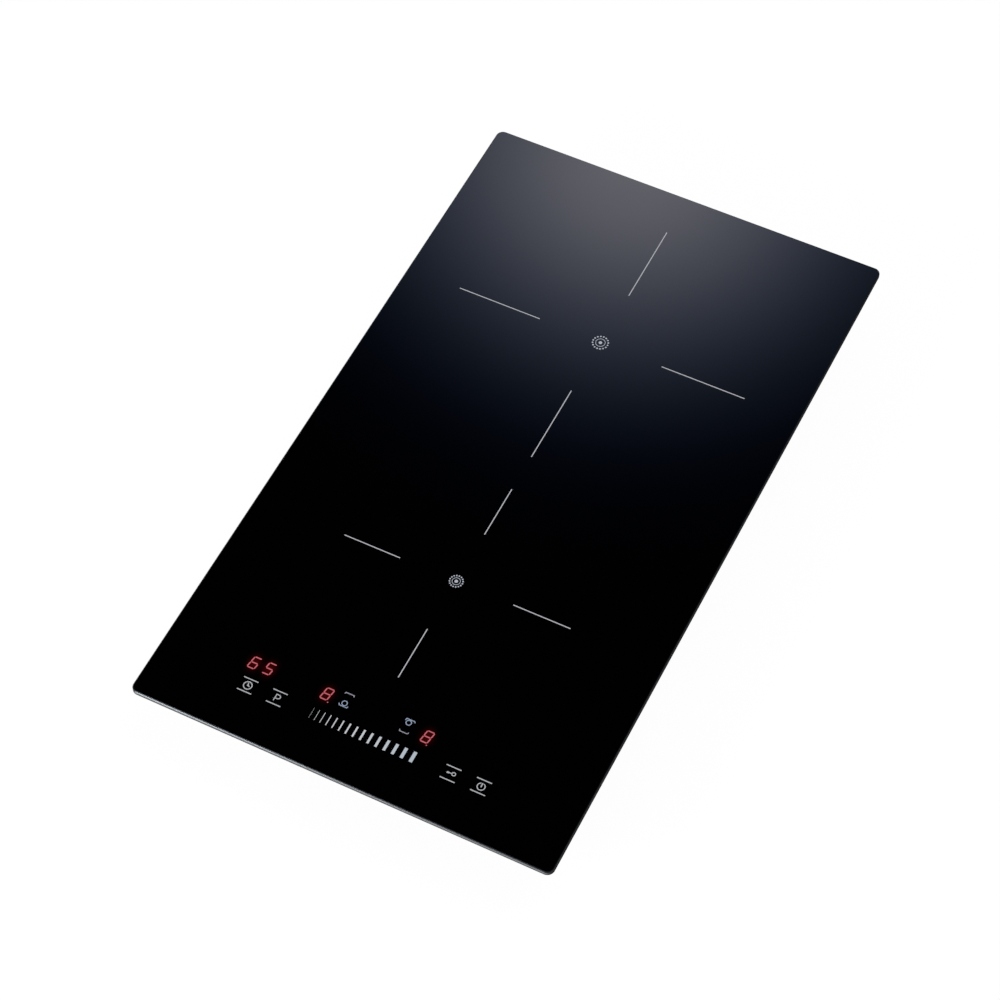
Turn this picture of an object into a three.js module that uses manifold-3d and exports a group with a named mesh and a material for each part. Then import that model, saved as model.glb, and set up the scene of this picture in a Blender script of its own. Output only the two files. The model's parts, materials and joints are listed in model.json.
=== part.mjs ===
// Electric induction cooktop with two cooking zones, for building into a worktop from above.
// Millimetres, +Z up, +Y to the back. The origin is the middle of the base tray's underside.

import * as THREE from 'three';
import { mergeVertices } from 'three/addons/utils/BufferGeometryUtils.js';
import Module from 'manifold-3d';

const wasm = await Module();
wasm.setup();

// ---- Driving dimensions ----

// Clearances
const seat = 0.3; // between pieces that rest on, in or against one another
const running = 0.8; // round what turns
const cutPast = 1; // how far a cutting tool runs past the face that it opens

// Glass
const glassWidth = 290;
const glassDepth = 510;
const glassThickness = 4;
const glassCorner = 5;
const glassBevel = 0.8; // ground edge, top and bottom

// Worktop and seal
const worktopLevel = 50; // height of the worktop's face above the tray's underside
const sealThickness = 2;
const sealInset = 1; // from the glass edge

// Base tray, folded from sheet steel
const sheet = 1;
const sideOverhang = 13; // glass past the tray's side walls
const endOverhang = 16; // glass past the front and back walls
const flangeWidth = 5.5;
const trayCorner = 6;
const stepWidth = 28; // the lower tub is this much narrower on each side
const frontStep = 28; // and its front wall stands this far behind the upper one
const stepHeight = 22;
const beadWidth = 9; // pressed into the floor to stiffen it
const beadHeight = 1.2;
const beadMargin = 14; // from the ends of the beads to the walls
const beadPitch = 45;
const beadCount = 4;

// Slots that let air through the tray
const slotWidth = 3.4;
const slotPitch = 7;
const slotRib = 5; // bar left between two rows of slots
const exhaustSlotHeight = 14;
const exhaustSlotCount = 15;
const sideSlotCount = 7;
const sideSlotHeight = 12;
const sideSlotDrop = 8; // from the flange to the top of the side slots

// Power board and what stands on it
const boardThickness = 1.6;
const boardLift = 7; // above the tray floor
const boardSideGap = 3; // to the walls of the lower tub
const boardDepth = 262;
const postRadius = 4;
const postPinRadius = 1.6;
const postInset = 9;
const sinkWidth = 66;
const sinkLength = 108;
const sinkBase = 4;
const sinkFinHeight = 15;
const sinkFinThickness = 1.5;
const sinkFinPitch = 6;
const sinkSetback = 8; // from the board's back edge
const transistorLength = 21;
const transistorWidth = 16;
const transistorThickness = 5;
const eyeletRadius = 1.6;
const eyeletInset = 4.2; // from the end of its body
const chokeRadius = 15; // to the middle of the core
const chokeCoreWidth = 9;
const chokeCoreHeight = 12;
const chokeTurns = 12;
const chokeWire = 1.6;
const capacitorLength = 32;
const capacitorWidth = 17;
const capacitorHeight = 24;
const canRadius = 9; // smoothing capacitor
const canHeight = 24;
const canGroove = 0.9; // depth and half height of the groove under its rim
const canRim = 2;
const transformerSize = 24;
const transformerHeight = 20;
const bobbinWidth = 15;
const componentGap = 14; // between the large components

// Coil carrier, folded from aluminium sheet
const carrierSheet = 1.5;
const carrierFootLength = 22;
const carrierFootWidth = 16;
const carrierMargin = 5; // past the coil formers

// Coils
const frontCoilRadius = 70; // outside of the winding
const coilBore = 24; // inside radius of the winding
const wireWidth = 4.6;
const wireHeight = 4.2;
const wirePitch = 5.8;
const formerDisc = 1.5;
const formerRim = 1.5;
const formerLip = 2.8; // former past the winding
const hubRadius = 12;
const hubWall = 2;
const ferriteHeight = 4;
const ferriteWidth = 15;
const ferriteWall = 1.2;
const rearFerriteCount = 6;
const frontFerriteCount = 4;
const insulationThickness = 0.8;
const rearCoilSetback = 25; // from the tray's back wall to the rear former
const frontCoilSetback = 21; // from the control holder to the front former
const coilGap = 41; // between the two formers
const sensorRadius = 5;
const sensorFoot = 7.5;
const sensorTip = 3.5;
const leadSlotReach = 36; // from a coil's middle to the slots for its leads

// Fan
const impellerRadius = 32;
const impellerHeight = 19;
const bladeDepth = 7;
const bladeCount = 24;
const bladeThickness = 0.9;
const bladeLean = 0.16; // how far a blade's outer edge runs ahead, in radians
const bladeSteps = 2;
const impellerPlate = 1.5;
const motorRadius = 12;
const rotorWall = 2;
const shaftRadius = 1.5;
const scrollStart = 36; // radius of the scroll at its tongue
const scrollGrowth = 12; // added to that radius at the outlet
const scrollTongue = 240; // degrees round from +X to the tongue
const fanWall = 1.5;
const fanCornerGap = 3; // to the tray walls
const outletLength = 14; // duct past the scroll

// Controls
const holderDepth = 46;
const holderSheet = 2;
const controlBoardWidth = 200;
const controlBoardDepth = 40;
const displayHeight = 5.2;
const digitWidth = 12; // one digit of a display module
const digitModuleDepth = 15;
const displayRowBack = 10; // from the middle of the control board back to the row of displays
const timerDisplayInset = 20; // from the control board's left end to the middle of the display
const frontDisplayX = -33.5;
const rearDisplayX = 36;
const keyWidth = 12; // light guides under the printed keys
const keyDepth = 9;
const keyPitch = 21;
const keyInset = 19; // from the ends of the board to the middle of the outer keys
const keyRowFront = 6; // from the middle of the board to the row of keys
const sliderLength = 76;
const guideSheet = 1.5;

// Terminal box at the back
const terminalHeight = 33;
const terminalDepth = 40;
const terminalWall = 2;
const terminalSideGap = 1; // past the tray's rounded corner
const poleCount = 5;
const polePitch = 9;
const blockDepth = 17;
const blockHeight = 20;
const accessWidth = 48;
const accessHeight = 22;
const coverThickness = 2;
const coverLap = 3; // past the opening on each side
const pinRadius = 1;
const knuckleWall = 1.3;
const earLength = 4;
const glandRadius = 6.5; // hole in the tray
const glandBore = 4.7;
const glandFlange = 2.5;

// Worktop clamps
const clampWidth = 16;
const clampSheet = 2;
const clampReach = 38; // from the screw to the toe's tip
const clampPad = 12; // from the screw to the bend
const clampDrop = 11.5;
const clampInset = 48; // from the ends of the tray to the screws
const clampScrewRadius = 2.5;
const screwHeadRadius = 4.5;
const screwHeadHeight = 2.6;
const screwLength = 9; // past the sheet that it holds
const carrierScrewRadius = 2;
const carrierScrewInset = 92; // from the ends of the tray to the carrier's screws

// How finely curves are cut
const cornerSteps = 4;
const slotSteps = 1;
const coilSteps = 36; // round a former
const windingSteps = 18; // round each turn of wire
const roundSteps = 24;
const smallSteps = 10;
const screwSteps = 8;

// ---- Places worked out from them ----

const glassUnderside = worktopLevel + sealThickness;
const trayTop = glassUnderside - seat;
const trayWidth = glassWidth - 2 * sideOverhang;
const trayDepth = glassDepth - 2 * endOverhang;
const tubWidth = trayWidth - 2 * stepWidth;
const tubDepth = trayDepth - frontStep;
const tubFront = -trayDepth / 2 + frontStep;
const tubMiddleY = frontStep / 2;
const innerHalfWidth = trayWidth / 2 - sheet;
const innerHalfDepth = trayDepth / 2 - sheet;
const tubHalfWidth = tubWidth / 2 - sheet;
const shelfTop = stepHeight + sheet;

const holderBack = -innerHalfDepth + seat + holderDepth;
// The rear coil takes the depth that the front one leaves.
const formerGrowth = seat + formerRim + formerLip;
const frontFormerRadius = frontCoilRadius + formerGrowth;
const frontZoneY = holderBack + frontCoilSetback + frontFormerRadius;
const rearFormerBack = innerHalfDepth - rearCoilSetback;
const rearFormerRadius = (rearFormerBack - frontZoneY - frontFormerRadius - coilGap) / 2;
const rearCoilRadius = rearFormerRadius - formerGrowth;
const rearZoneY = rearFormerBack - rearFormerRadius;

// Heights of the coil stack above the carrier, and the carrier's own height under the glass
const discLow = seat + ferriteHeight + seat;
const discTop = discLow + formerDisc;
const wireLow = discTop + seat;
const rimTop = wireLow + wireHeight + seat;
const insulationLow = rimTop + seat;
const stackHeight = insulationLow + insulationThickness + seat;
const carrierTop = glassUnderside - stackHeight;
const carrierUnderside = carrierTop - carrierSheet;
const carrierFront = frontZoneY - frontFormerRadius - carrierMargin;
const carrierBack = rearZoneY + rearFormerRadius + carrierMargin;

const boardLow = sheet + boardLift;
const boardTop = boardLow + boardThickness;
const boardHalfWidth = tubHalfWidth - boardSideGap;

const scrollEnd = scrollStart + scrollGrowth;
const fanX = -tubHalfWidth + fanCornerGap + fanWall + scrollEnd;
const fanY = innerHalfDepth - fanCornerGap - fanWall - scrollEnd;
const fanLow = sheet + seat;
const impellerLow = fanLow + fanWall + running;
const fanHeight = fanWall + running + impellerHeight + running + fanWall;
const boardBack = fanY - scrollEnd - outletLength - fanWall;
const boardFront = boardBack - boardDepth;

const terminalRight = tubHalfWidth - trayCorner - terminalSideGap;
const terminalBack = innerHalfDepth - seat;
const terminalLow = sheet + seat;
const accessX = terminalRight - terminalWall - coverLap - accessWidth / 2;
const accessLow = terminalLow + terminalWall + coverLap;
const backFace = trayDepth / 2;
const knuckleRadius = pinRadius + seat + knuckleWall;
const hingeY = backFace + seat + knuckleRadius;
const hingeZ = accessLow - coverLap;
const earEnd = accessX - accessWidth / 2 - coverLap - seat - earLength;
const glandX = earEnd - sheet - glandFlange - glandRadius;
const terminalLeft = glandX - glandRadius - glandFlange - terminalWall;
const glandZ = accessLow + accessHeight / 2;

const clampX = trayWidth / 2 - stepWidth / 2;
const clampY = trayDepth / 2 - clampInset;
const clampTop = stepHeight - seat;
const carrierScrewY = trayDepth / 2 - carrierScrewInset;

// ---- Finishes ----

const finishes = {
  glass: { color: 0x08080a, roughness: 0.06, metalness: 0 },
  foam: { color: 0x2c2c2e, roughness: 0.95, metalness: 0 },
  galvanised: { color: 0xa9adb0, roughness: 0.42, metalness: 0.85 },
  aluminium: { color: 0xc4c7ca, roughness: 0.38, metalness: 0.9 },
  steel: { color: 0x8e9296, roughness: 0.35, metalness: 0.95 },
  copper: { color: 0xa8623c, roughness: 0.5, metalness: 0.8 },
  ferrite: { color: 0x2d2d30, roughness: 0.8, metalness: 0.1 },
  former: { color: 0xb9b4a6, roughness: 0.7, metalness: 0 },
  mica: { color: 0xd0c8b4, roughness: 0.75, metalness: 0 },
  board: { color: 0x24503a, roughness: 0.55, metalness: 0 },
  blackPlastic: { color: 0x1a1b1d, roughness: 0.55, metalness: 0 },
  greyPlastic: { color: 0x7c7f82, roughness: 0.6, metalness: 0 },
  yellowFilm: { color: 0xc7a63a, roughness: 0.5, metalness: 0 },
  epoxy: { color: 0x17181a, roughness: 0.4, metalness: 0 },
  display: { color: 0x3a1010, roughness: 0.35, metalness: 0 },
  clearPlastic: { color: 0xb9bfc4, roughness: 0.25, metalness: 0 },
  ceramic: { color: 0xe4e0d6, roughness: 0.5, metalness: 0 },
};

// ---- Making solids ----

// A closed three.js geometry as a solid that can be joined and cut.
function solid(geometry) {
  geometry.deleteAttribute('normal');
  geometry.deleteAttribute('uv');
  const merged = mergeVertices(geometry, 1e-4);
  const triangles = [];
  for (let i = 0; i < merged.index.count; i += 3) {
    const [a, b, c] = [0, 1, 2].map((k) => merged.index.getX(i + k));
    if (a !== b && b !== c && c !== a) triangles.push(a, b, c);
  }
  const mesh = new wasm.Mesh({
    numProp: 3,
    vertProperties: merged.attributes.position.array,
    triVerts: new Uint32Array(triangles),
  });
  return new wasm.Manifold(mesh);
}

function join(...solids) {
  return solids.reduce((whole, next) => whole.add(next));
}

function cut(base, ...tools) {
  return tools.reduce((rest, tool) => rest.subtract(tool), base);
}

// A block between two corners: each argument is a [low, high] pair.
function block(x, y, z) {
  const geometry = new THREE.BoxGeometry(x[1] - x[0], y[1] - y[0], z[1] - z[0]);
  geometry.translate((x[0] + x[1]) / 2, (y[0] + y[1]) / 2, (z[0] + z[1]) / 2);
  return solid(geometry);
}

// An outline pushed up along Z, from z[0] to z[1].
function prismGeometry(shape, z, steps = cornerSteps) {
  const geometry = new THREE.ExtrudeGeometry(shape, {
    depth: z[1] - z[0],
    bevelEnabled: false,
    curveSegments: steps,
  });
  return geometry.translate(0, 0, z[0]);
}

function prism(shape, z, steps) {
  return solid(prismGeometry(shape, z, steps));
}

// An outline in X and Z, pushed back along Y from y[0] to y[1].
function prismAlongY(shape, y, steps) {
  const geometry = prismGeometry(shape, [0, y[1] - y[0]], steps);
  return solid(geometry.rotateX(Math.PI / 2).translate(0, y[1], 0));
}

// An outline in Y and Z, pushed along X from x[0] to x[1].
function prismAlongX(shape, x, steps) {
  const geometry = prismGeometry(shape, [0, x[1] - x[0]], steps);
  return solid(geometry.rotateX(Math.PI / 2).rotateZ(Math.PI / 2).translate(x[0], 0, 0));
}

function roundedRect(width, depth, radius, x = 0, y = 0) {
  const [left, right] = [x - width / 2, x + width / 2];
  const [low, high] = [y - depth / 2, y + depth / 2];
  const shape = new THREE.Shape();
  shape.moveTo(left + radius, low);
  shape.lineTo(right - radius, low);
  shape.absarc(right - radius, low + radius, radius, -Math.PI / 2, 0);
  shape.lineTo(right, high - radius);
  shape.absarc(right - radius, high - radius, radius, 0, Math.PI / 2);
  shape.lineTo(left + radius, high);
  shape.absarc(left + radius, high - radius, radius, Math.PI / 2, Math.PI);
  shape.lineTo(left, low + radius);
  shape.absarc(left + radius, low + radius, radius, Math.PI, 1.5 * Math.PI);
  return shape;
}

// A slot with round ends, its length along the first axis.
function slotShape(length, width, x, y) {
  const reach = (length - width) / 2;
  const shape = new THREE.Shape();
  shape.moveTo(x - reach, y - width / 2);
  shape.lineTo(x + reach, y - width / 2);
  shape.absarc(x + reach, y, width / 2, -Math.PI / 2, Math.PI / 2);
  shape.lineTo(x - reach, y + width / 2);
  shape.absarc(x - reach, y, width / 2, Math.PI / 2, 1.5 * Math.PI);
  return shape;
}

// The same slot standing upright.
function uprightSlot(height, width, x, y) {
  const reach = (height - width) / 2;
  const shape = new THREE.Shape();
  shape.moveTo(x + width / 2, y - reach);
  shape.lineTo(x + width / 2, y + reach);
  shape.absarc(x, y + reach, width / 2, 0, Math.PI);
  shape.lineTo(x - width / 2, y - reach);
  shape.absarc(x, y - reach, width / 2, Math.PI, 2 * Math.PI);
  return shape;
}

function polygon(points) {
  return new THREE.Shape(points.map(([x, y]) => new THREE.Vector2(x, y)));
}

function circle(radius, x = 0, y = 0, steps = roundSteps) {
  const points = [];
  for (let i = 0; i < steps; i++) {
    const angle = (2 * Math.PI * i) / steps;
    points.push([x + radius * Math.cos(angle), y + radius * Math.sin(angle)]);
  }
  return polygon(points);
}

function disc(radius, z, x = 0, y = 0, steps = roundSteps) {
  return prism(circle(radius, x, y, steps), z);
}

// A profile of [radius, height] points, anticlockwise, turned about the Z axis.
function turned(profile, steps = roundSteps) {
  const points = [...profile, profile[0]].map(([r, z]) => new THREE.Vector2(r, z));
  return solid(new THREE.LatheGeometry(points, steps).rotateX(Math.PI / 2));
}

function finish(name) {
  return new THREE.MeshStandardMaterial(finishes[name]);
}

// A solid as a named mesh in the assembly.
function piece(name, body, finishName) {
  const { vertProperties, triVerts } = body.getMesh();
  const geometry = new THREE.BufferGeometry();
  geometry.setAttribute('position', new THREE.BufferAttribute(new Float32Array(vertProperties), 3));
  geometry.setIndex(new THREE.BufferAttribute(new Uint32Array(triVerts), 1));
  geometry.computeVertexNormals();
  const mesh = new THREE.Mesh(geometry, finish(finishName));
  mesh.name = name;
  return mesh;
}

function groupAt(x, y, z, ...members) {
  const group = new THREE.Group();
  group.add(...members);
  group.position.set(x, y, z);
  return group;
}

// ---- Glass and seal ----

function makeGlass() {
  const geometry = new THREE.ExtrudeGeometry(roundedRect(glassWidth, glassDepth, glassCorner), {
    depth: glassThickness - 2 * glassBevel,
    bevelThickness: glassBevel,
    bevelSize: glassBevel,
    bevelOffset: -glassBevel,
    bevelSegments: 1,
    curveSegments: cornerSteps,
  });
  geometry.translate(0, 0, glassUnderside + glassBevel);
  return piece('glass_panel', solid(geometry), 'glass');
}

function makeSeal() {
  const width = sideOverhang - sealInset - flangeWidth - 2 * seat;
  const outline = roundedRect(
    glassWidth - 2 * sealInset,
    glassDepth - 2 * sealInset,
    glassCorner - sealInset,
  );
  const bore = roundedRect(
    glassWidth - 2 * (sealInset + width),
    glassDepth - 2 * (sealInset + width),
    trayCorner,
  );
  const z = [worktopLevel, glassUnderside - seat];
  const inside = prism(bore, [z[0] - cutPast, z[1] + cutPast]);
  return piece('worktop_seal', cut(prism(outline, z, cornerSteps), inside), 'foam');
}

// ---- Base tray ----

function trayShell() {
  const upper = roundedRect(trayWidth, trayDepth, trayCorner);
  const lower = roundedRect(tubWidth, tubDepth, trayCorner, 0, tubMiddleY);
  const flange = roundedRect(
    trayWidth + 2 * flangeWidth,
    trayDepth + 2 * flangeWidth,
    trayCorner + flangeWidth,
  );
  const upperInside = roundedRect(trayWidth - 2 * sheet, trayDepth - 2 * sheet, trayCorner - sheet);
  const lowerInside = roundedRect(
    tubWidth - 2 * sheet,
    tubDepth - 2 * sheet,
    trayCorner - sheet,
    0,
    tubMiddleY,
  );
  const outside = join(
    prism(upper, [stepHeight, trayTop]),
    prism(lower, [0, shelfTop]),
    prism(flange, [trayTop - sheet, trayTop]),
  );
  return cut(
    outside,
    prism(upperInside, [shelfTop, trayTop + cutPast]),
    prism(lowerInside, [sheet, shelfTop + cutPast]),
  );
}

// Rows of slots in the floor, kept inside the round mouth of the fan and split by a bar.
function intakeSlots() {
  const mouth = impellerRadius - bladeDepth + running + slotWidth;
  const tools = [];
  for (let y = -slotPitch * Math.floor(mouth / slotPitch); y <= mouth; y += slotPitch) {
    const reach = Math.sqrt(Math.max(mouth * mouth - y * y, 0));
    const length = reach - slotRib / 2;
    if (length > 2 * slotWidth) {
      for (const side of [-1, 1]) {
        const x = fanX + side * (slotRib / 2 + length / 2);
        const z = [-cutPast, sheet + cutPast];
        tools.push(prism(slotShape(length, slotWidth, x, fanY + y), z, slotSteps));
      }
    }
  }
  return tools;
}

// Upright slots in the front wall of the tub, where the air leaves under the step.
function exhaustSlots() {
  const z = (sheet + stepHeight) / 2;
  const tools = [];
  for (let i = 0; i < exhaustSlotCount; i++) {
    const x = (i - (exhaustSlotCount - 1) / 2) * slotPitch;
    const y = [tubFront - cutPast, tubFront + sheet + cutPast];
    tools.push(prismAlongY(uprightSlot(exhaustSlotHeight, slotWidth, x, z), y, slotSteps));
  }
  return tools;
}

// Upright slots in both side walls, beside the gap between the two coils.
function sideSlots() {
  const z = trayTop - sideSlotDrop - sideSlotHeight / 2;
  const middle = (rearZoneY + frontZoneY) / 2;
  const tools = [];
  for (const side of [-1, 1]) {
    const x = side * (trayWidth / 2);
    for (let i = 0; i < sideSlotCount; i++) {
      const y = middle + (i - (sideSlotCount - 1) / 2) * slotPitch;
      const shape = uprightSlot(sideSlotHeight, slotWidth, y, z);
      tools.push(prismAlongX(shape, [x - sheet - cutPast, x + sheet + cutPast], slotSteps));
    }
  }
  return tools;
}

function boardPostPlaces() {
  const x = boardHalfWidth - postInset;
  const places = [];
  for (const side of [-1, 1]) {
    places.push([side * x, boardFront + postInset], [side * x, boardBack - postInset]);
  }
  return places;
}

function boardPost([x, y]) {
  const shoulder = disc(postRadius, [sheet / 2, boardLow - seat], x, y, smallSteps);
  const pin = disc(postPinRadius, [sheet, boardTop + sheet], x, y, smallSteps);
  return join(shoulder, pin);
}

// Long ribs pressed up into the floor under the power board: what they add, and what they leave.
function floorBeads() {
  const y = [tubFront + beadMargin, boardBack - beadMargin];
  const [length, middle] = [y[1] - y[0], (y[0] + y[1]) / 2];
  const raised = [];
  const hollows = [];
  for (let i = 0; i < beadCount; i++) {
    const x = (i - (beadCount - 1) / 2) * beadPitch;
    const outside = uprightSlot(length + 2 * sheet, beadWidth + 2 * sheet, x, middle);
    raised.push(prism(outside, [sheet / 2, sheet + beadHeight], 2));
    hollows.push(prism(uprightSlot(length, beadWidth, x, middle), [-cutPast, beadHeight], 2));
  }
  return { raised, hollows };
}

// Two lugs on the back wall that hold the ends of the cover's hinge pin.
function hingeEars() {
  const halfCover = accessWidth / 2 + coverLap;
  const ears = [];
  for (const side of [-1, 1]) {
    const inner = accessX + side * (halfCover + seat);
    const outer = inner + side * earLength;
    const x = [Math.min(inner, outer), Math.max(inner, outer)];
    const y = [backFace - sheet / 2, hingeY + knuckleRadius];
    ears.push(block(x, y, [hingeZ - knuckleRadius, hingeZ + knuckleRadius]));
  }
  return ears;
}

function makeTray() {
  const halfCover = accessWidth / 2 + coverLap;
  const pinReach = halfCover + earLength;
  const pinBore = prismAlongX(
    circle(pinRadius + seat, hingeY, hingeZ, smallSteps),
    [accessX - pinReach - cutPast, accessX + pinReach + cutPast],
  );
  const backCut = [innerHalfDepth - cutPast, backFace + cutPast];
  const access = prismAlongY(
    roundedRect(accessWidth, accessHeight, sheet, accessX, accessLow + accessHeight / 2),
    backCut,
    2,
  );
  const inlet = prismAlongY(circle(glandRadius + seat, glandX, glandZ), backCut);
  const screwHoles = [];
  for (const side of [-1, 1]) {
    for (const end of [-1, 1]) {
      const z = [stepHeight - cutPast, shelfTop + cutPast];
      const clampHole = clampScrewRadius + seat;
      const carrierHole = carrierScrewRadius + seat;
      screwHoles.push(disc(clampHole, z, side * clampX, end * clampY, smallSteps));
      screwHoles.push(disc(carrierHole, z, side * clampX, end * carrierScrewY, smallSteps));
    }
  }
  const beads = floorBeads();
  const posts = boardPostPlaces().map(boardPost);
  const body = join(trayShell(), ...beads.raised, ...posts, ...hingeEars());
  const tools = [pinBore, access, inlet, ...beads.hollows, ...screwHoles];
  tools.push(...intakeSlots(), ...exhaustSlots(), ...sideSlots());
  return piece('base_tray', cut(body, ...tools), 'galvanised');
}

// ---- Screws ----

// A pan-head screw driven upwards: z = 0 is the underside of the sheet that it holds.
function screw(name, radius, length) {
  const profile = [
    [0, -screwHeadHeight],
    [0.75 * screwHeadRadius, -screwHeadHeight],
    [screwHeadRadius, -0.6 * screwHeadHeight],
    [screwHeadRadius, -seat],
    [radius, -seat],
    [radius, length],
    [0, length],
  ];
  const recess = screwHeadRadius / 2;
  const blade = recess / 3;
  const z = [-screwHeadHeight - cutPast, -screwHeadHeight / 2];
  const cross = join(
    block([-recess, recess], [-blade / 2, blade / 2], z),
    block([-blade / 2, blade / 2], [-recess, recess], z),
  );
  return piece(name, cut(turned(profile, screwSteps), cross), 'steel');
}

// ---- Coil carrier ----

function makeCarrier() {
  const legX = innerHalfWidth - seat;
  const y = [carrierFront, carrierBack];
  const plate = block([-legX, legX], y, [carrierUnderside, carrierTop]);
  const legs = [];
  const feet = [];
  const holes = [];
  for (const side of [-1, 1]) {
    const inner = side * (legX - carrierSheet);
    const leg = [Math.min(inner, side * legX), Math.max(inner, side * legX)];
    legs.push(block(leg, y, [shelfTop + seat, carrierTop]));
    const footInner = side * (clampX - carrierFootWidth / 2);
    const foot = [Math.min(footInner, side * legX), Math.max(footInner, side * legX)];
    for (const end of [-1, 1]) {
      const footY = end * carrierScrewY;
      const span = [footY - carrierFootLength / 2, footY + carrierFootLength / 2];
      const z = [shelfTop + seat, shelfTop + seat + carrierSheet];
      feet.push(block(foot, span, z));
      const hole = [z[0] - cutPast, z[1] + cutPast];
      holes.push(disc(carrierScrewRadius + seat, hole, side * clampX, footY, smallSteps));
    }
  }
  const through = [carrierUnderside - cutPast, carrierTop + cutPast];
  for (const zoneY of [rearZoneY, frontZoneY]) {
    holes.push(disc(sensorRadius / 2, through, 0, zoneY, smallSteps));
    for (const side of [-1, 1]) {
      const lead = slotShape(coilBore, sensorRadius, side * leadSlotReach, zoneY);
      holes.push(prism(lead, through, 2));
    }
  }
  return piece('coil_carrier', cut(join(plate, ...legs, ...feet), ...holes), 'aluminium');
}

// ---- Coils ----

// One flat band of litz wire wound in an Archimedean spiral from the bore to the rim.
function windingShape(radius) {
  const turns = Math.floor((radius - coilBore - wireWidth) / wirePitch);
  const steps = turns * windingSteps;
  const outer = [];
  const inner = [];
  for (let i = 0; i <= steps; i++) {
    const angle = (2 * Math.PI * turns * i) / steps;
    const middle = radius - wireWidth / 2 - (wirePitch * angle) / (2 * Math.PI);
    const [c, s] = [Math.cos(angle), Math.sin(angle)];
    outer.push([(middle + wireWidth / 2) * c, (middle + wireWidth / 2) * s]);
    inner.unshift([(middle - wireWidth / 2) * c, (middle - wireWidth / 2) * s]);
  }
  return polygon([...outer, ...inner]);
}

// The places of a coil's ferrite bars: a spoke angle each.
function spokes(count) {
  return Array.from({ length: count }, (_, i) => (2 * Math.PI * (i + 0.5)) / count);
}

function spokeBlock(angle, span, halfWidth, z) {
  const geometry = new THREE.BoxGeometry(span[1] - span[0], 2 * halfWidth, z[1] - z[0]);
  geometry.translate((span[0] + span[1]) / 2, 0, (z[0] + z[1]) / 2);
  return solid(geometry.rotateZ(angle));
}

function ferriteSpan(radius) {
  return [coilBore + ferriteWall, radius - 2 * ferriteWall - seat];
}

// The former: a dished disc with a hub, and pockets for the ferrite bars on its underside.
function formerSolid(radius, ferriteCount) {
  const outside = radius + formerGrowth;
  const dish = turned(
    [
      [hubRadius - hubWall, discLow],
      [outside, discLow],
      [outside, rimTop],
      [outside - formerRim, rimTop],
      [outside - formerRim, discTop],
      [hubRadius, discTop],
      [hubRadius, rimTop],
      [hubRadius - hubWall, rimTop],
    ],
    coilSteps,
  );
  const [near, far] = ferriteSpan(radius);
  const walls = [];
  const pockets = [];
  for (const angle of spokes(ferriteCount)) {
    const outer = [near - seat - ferriteWall, far + seat + ferriteWall];
    const halfWidth = ferriteWidth / 2 + seat;
    walls.push(spokeBlock(angle, outer, halfWidth + ferriteWall, [seat, discLow + formerDisc / 2]));
    pockets.push(spokeBlock(angle, [near - seat, far + seat], halfWidth, [-cutPast, discLow]));
  }
  return cut(join(dish, ...walls), ...pockets);
}

function makeCoil(zone, radius, ferriteCount, zoneY) {
  const members = [piece(`${zone}_coil_former`, formerSolid(radius, ferriteCount), 'former')];
  const winding = prism(windingShape(radius), [wireLow, wireLow + wireHeight]);
  members.push(piece(`${zone}_coil_winding`, winding, 'copper'));
  spokes(ferriteCount).forEach((angle, i) => {
    const bar = spokeBlock(angle, ferriteSpan(radius), ferriteWidth / 2, [seat, seat + ferriteHeight]);
    members.push(piece(`${zone}_ferrite_${i + 1}`, bar, 'ferrite'));
  });
  const sheetShape = circle(radius + formerGrowth, 0, 0, coilSteps);
  sheetShape.holes.push(circle(hubRadius - hubWall, 0, 0, roundSteps));
  const insulation = prism(sheetShape, [insulationLow, insulationLow + insulationThickness]);
  members.push(piece(`${zone}_insulation_disc`, insulation, 'mica'));
  const sensor = turned(
    [
      [0, seat],
      [sensorFoot, seat],
      [sensorFoot, discLow / 2],
      [sensorRadius, discLow],
      [sensorRadius, rimTop],
      [sensorTip, stackHeight - seat],
      [0, stackHeight - seat],
    ],
    smallSteps,
  );
  members.push(piece(`${zone}_temperature_sensor`, sensor, 'ceramic'));
  return groupAt(0, zoneY, carrierTop, ...members);
}

// ---- Power board ----

function makeBoard() {
  const shape = roundedRect(
    2 * boardHalfWidth,
    boardBack - boardFront,
    sheet,
    0,
    (boardFront + boardBack) / 2,
  );
  const holes = boardPostPlaces().map(([x, y]) => {
    const z = [boardLow - cutPast, boardTop + cutPast];
    return disc(postPinRadius + seat, z, x, y, smallSteps);
  });
  return piece('power_board', cut(prism(shape, [boardLow, boardTop], 2), ...holes), 'board');
}

// A comb of fins on a plate, with a foot along each side that stands on the board.
function heatSinkShape() {
  const underside = seat + transistorThickness + seat;
  const plateTop = underside + sinkBase;
  const finTop = plateTop + sinkFinHeight;
  const count = Math.floor((sinkWidth - sinkFinThickness) / sinkFinPitch) + 1;
  const first = (sinkWidth - (count - 1) * sinkFinPitch - sinkFinThickness) / 2;
  const points = [
    [0, seat],
    [sinkBase / 2, seat],
    [sinkBase / 2, underside],
    [sinkWidth - sinkBase / 2, underside],
    [sinkWidth - sinkBase / 2, seat],
    [sinkWidth, seat],
    [sinkWidth, plateTop],
  ];
  for (let i = count - 1; i >= 0; i--) {
    const left = first + i * sinkFinPitch;
    const right = left + sinkFinThickness;
    if (i < count - 1 || first > 0) points.push([right, plateTop]);
    points.push([right, finTop], [left, finTop]);
    if (i > 0 || first > 0) points.push([left, plateTop]);
  }
  points.push([0, plateTop]);
  return polygon(points);
}

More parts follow.
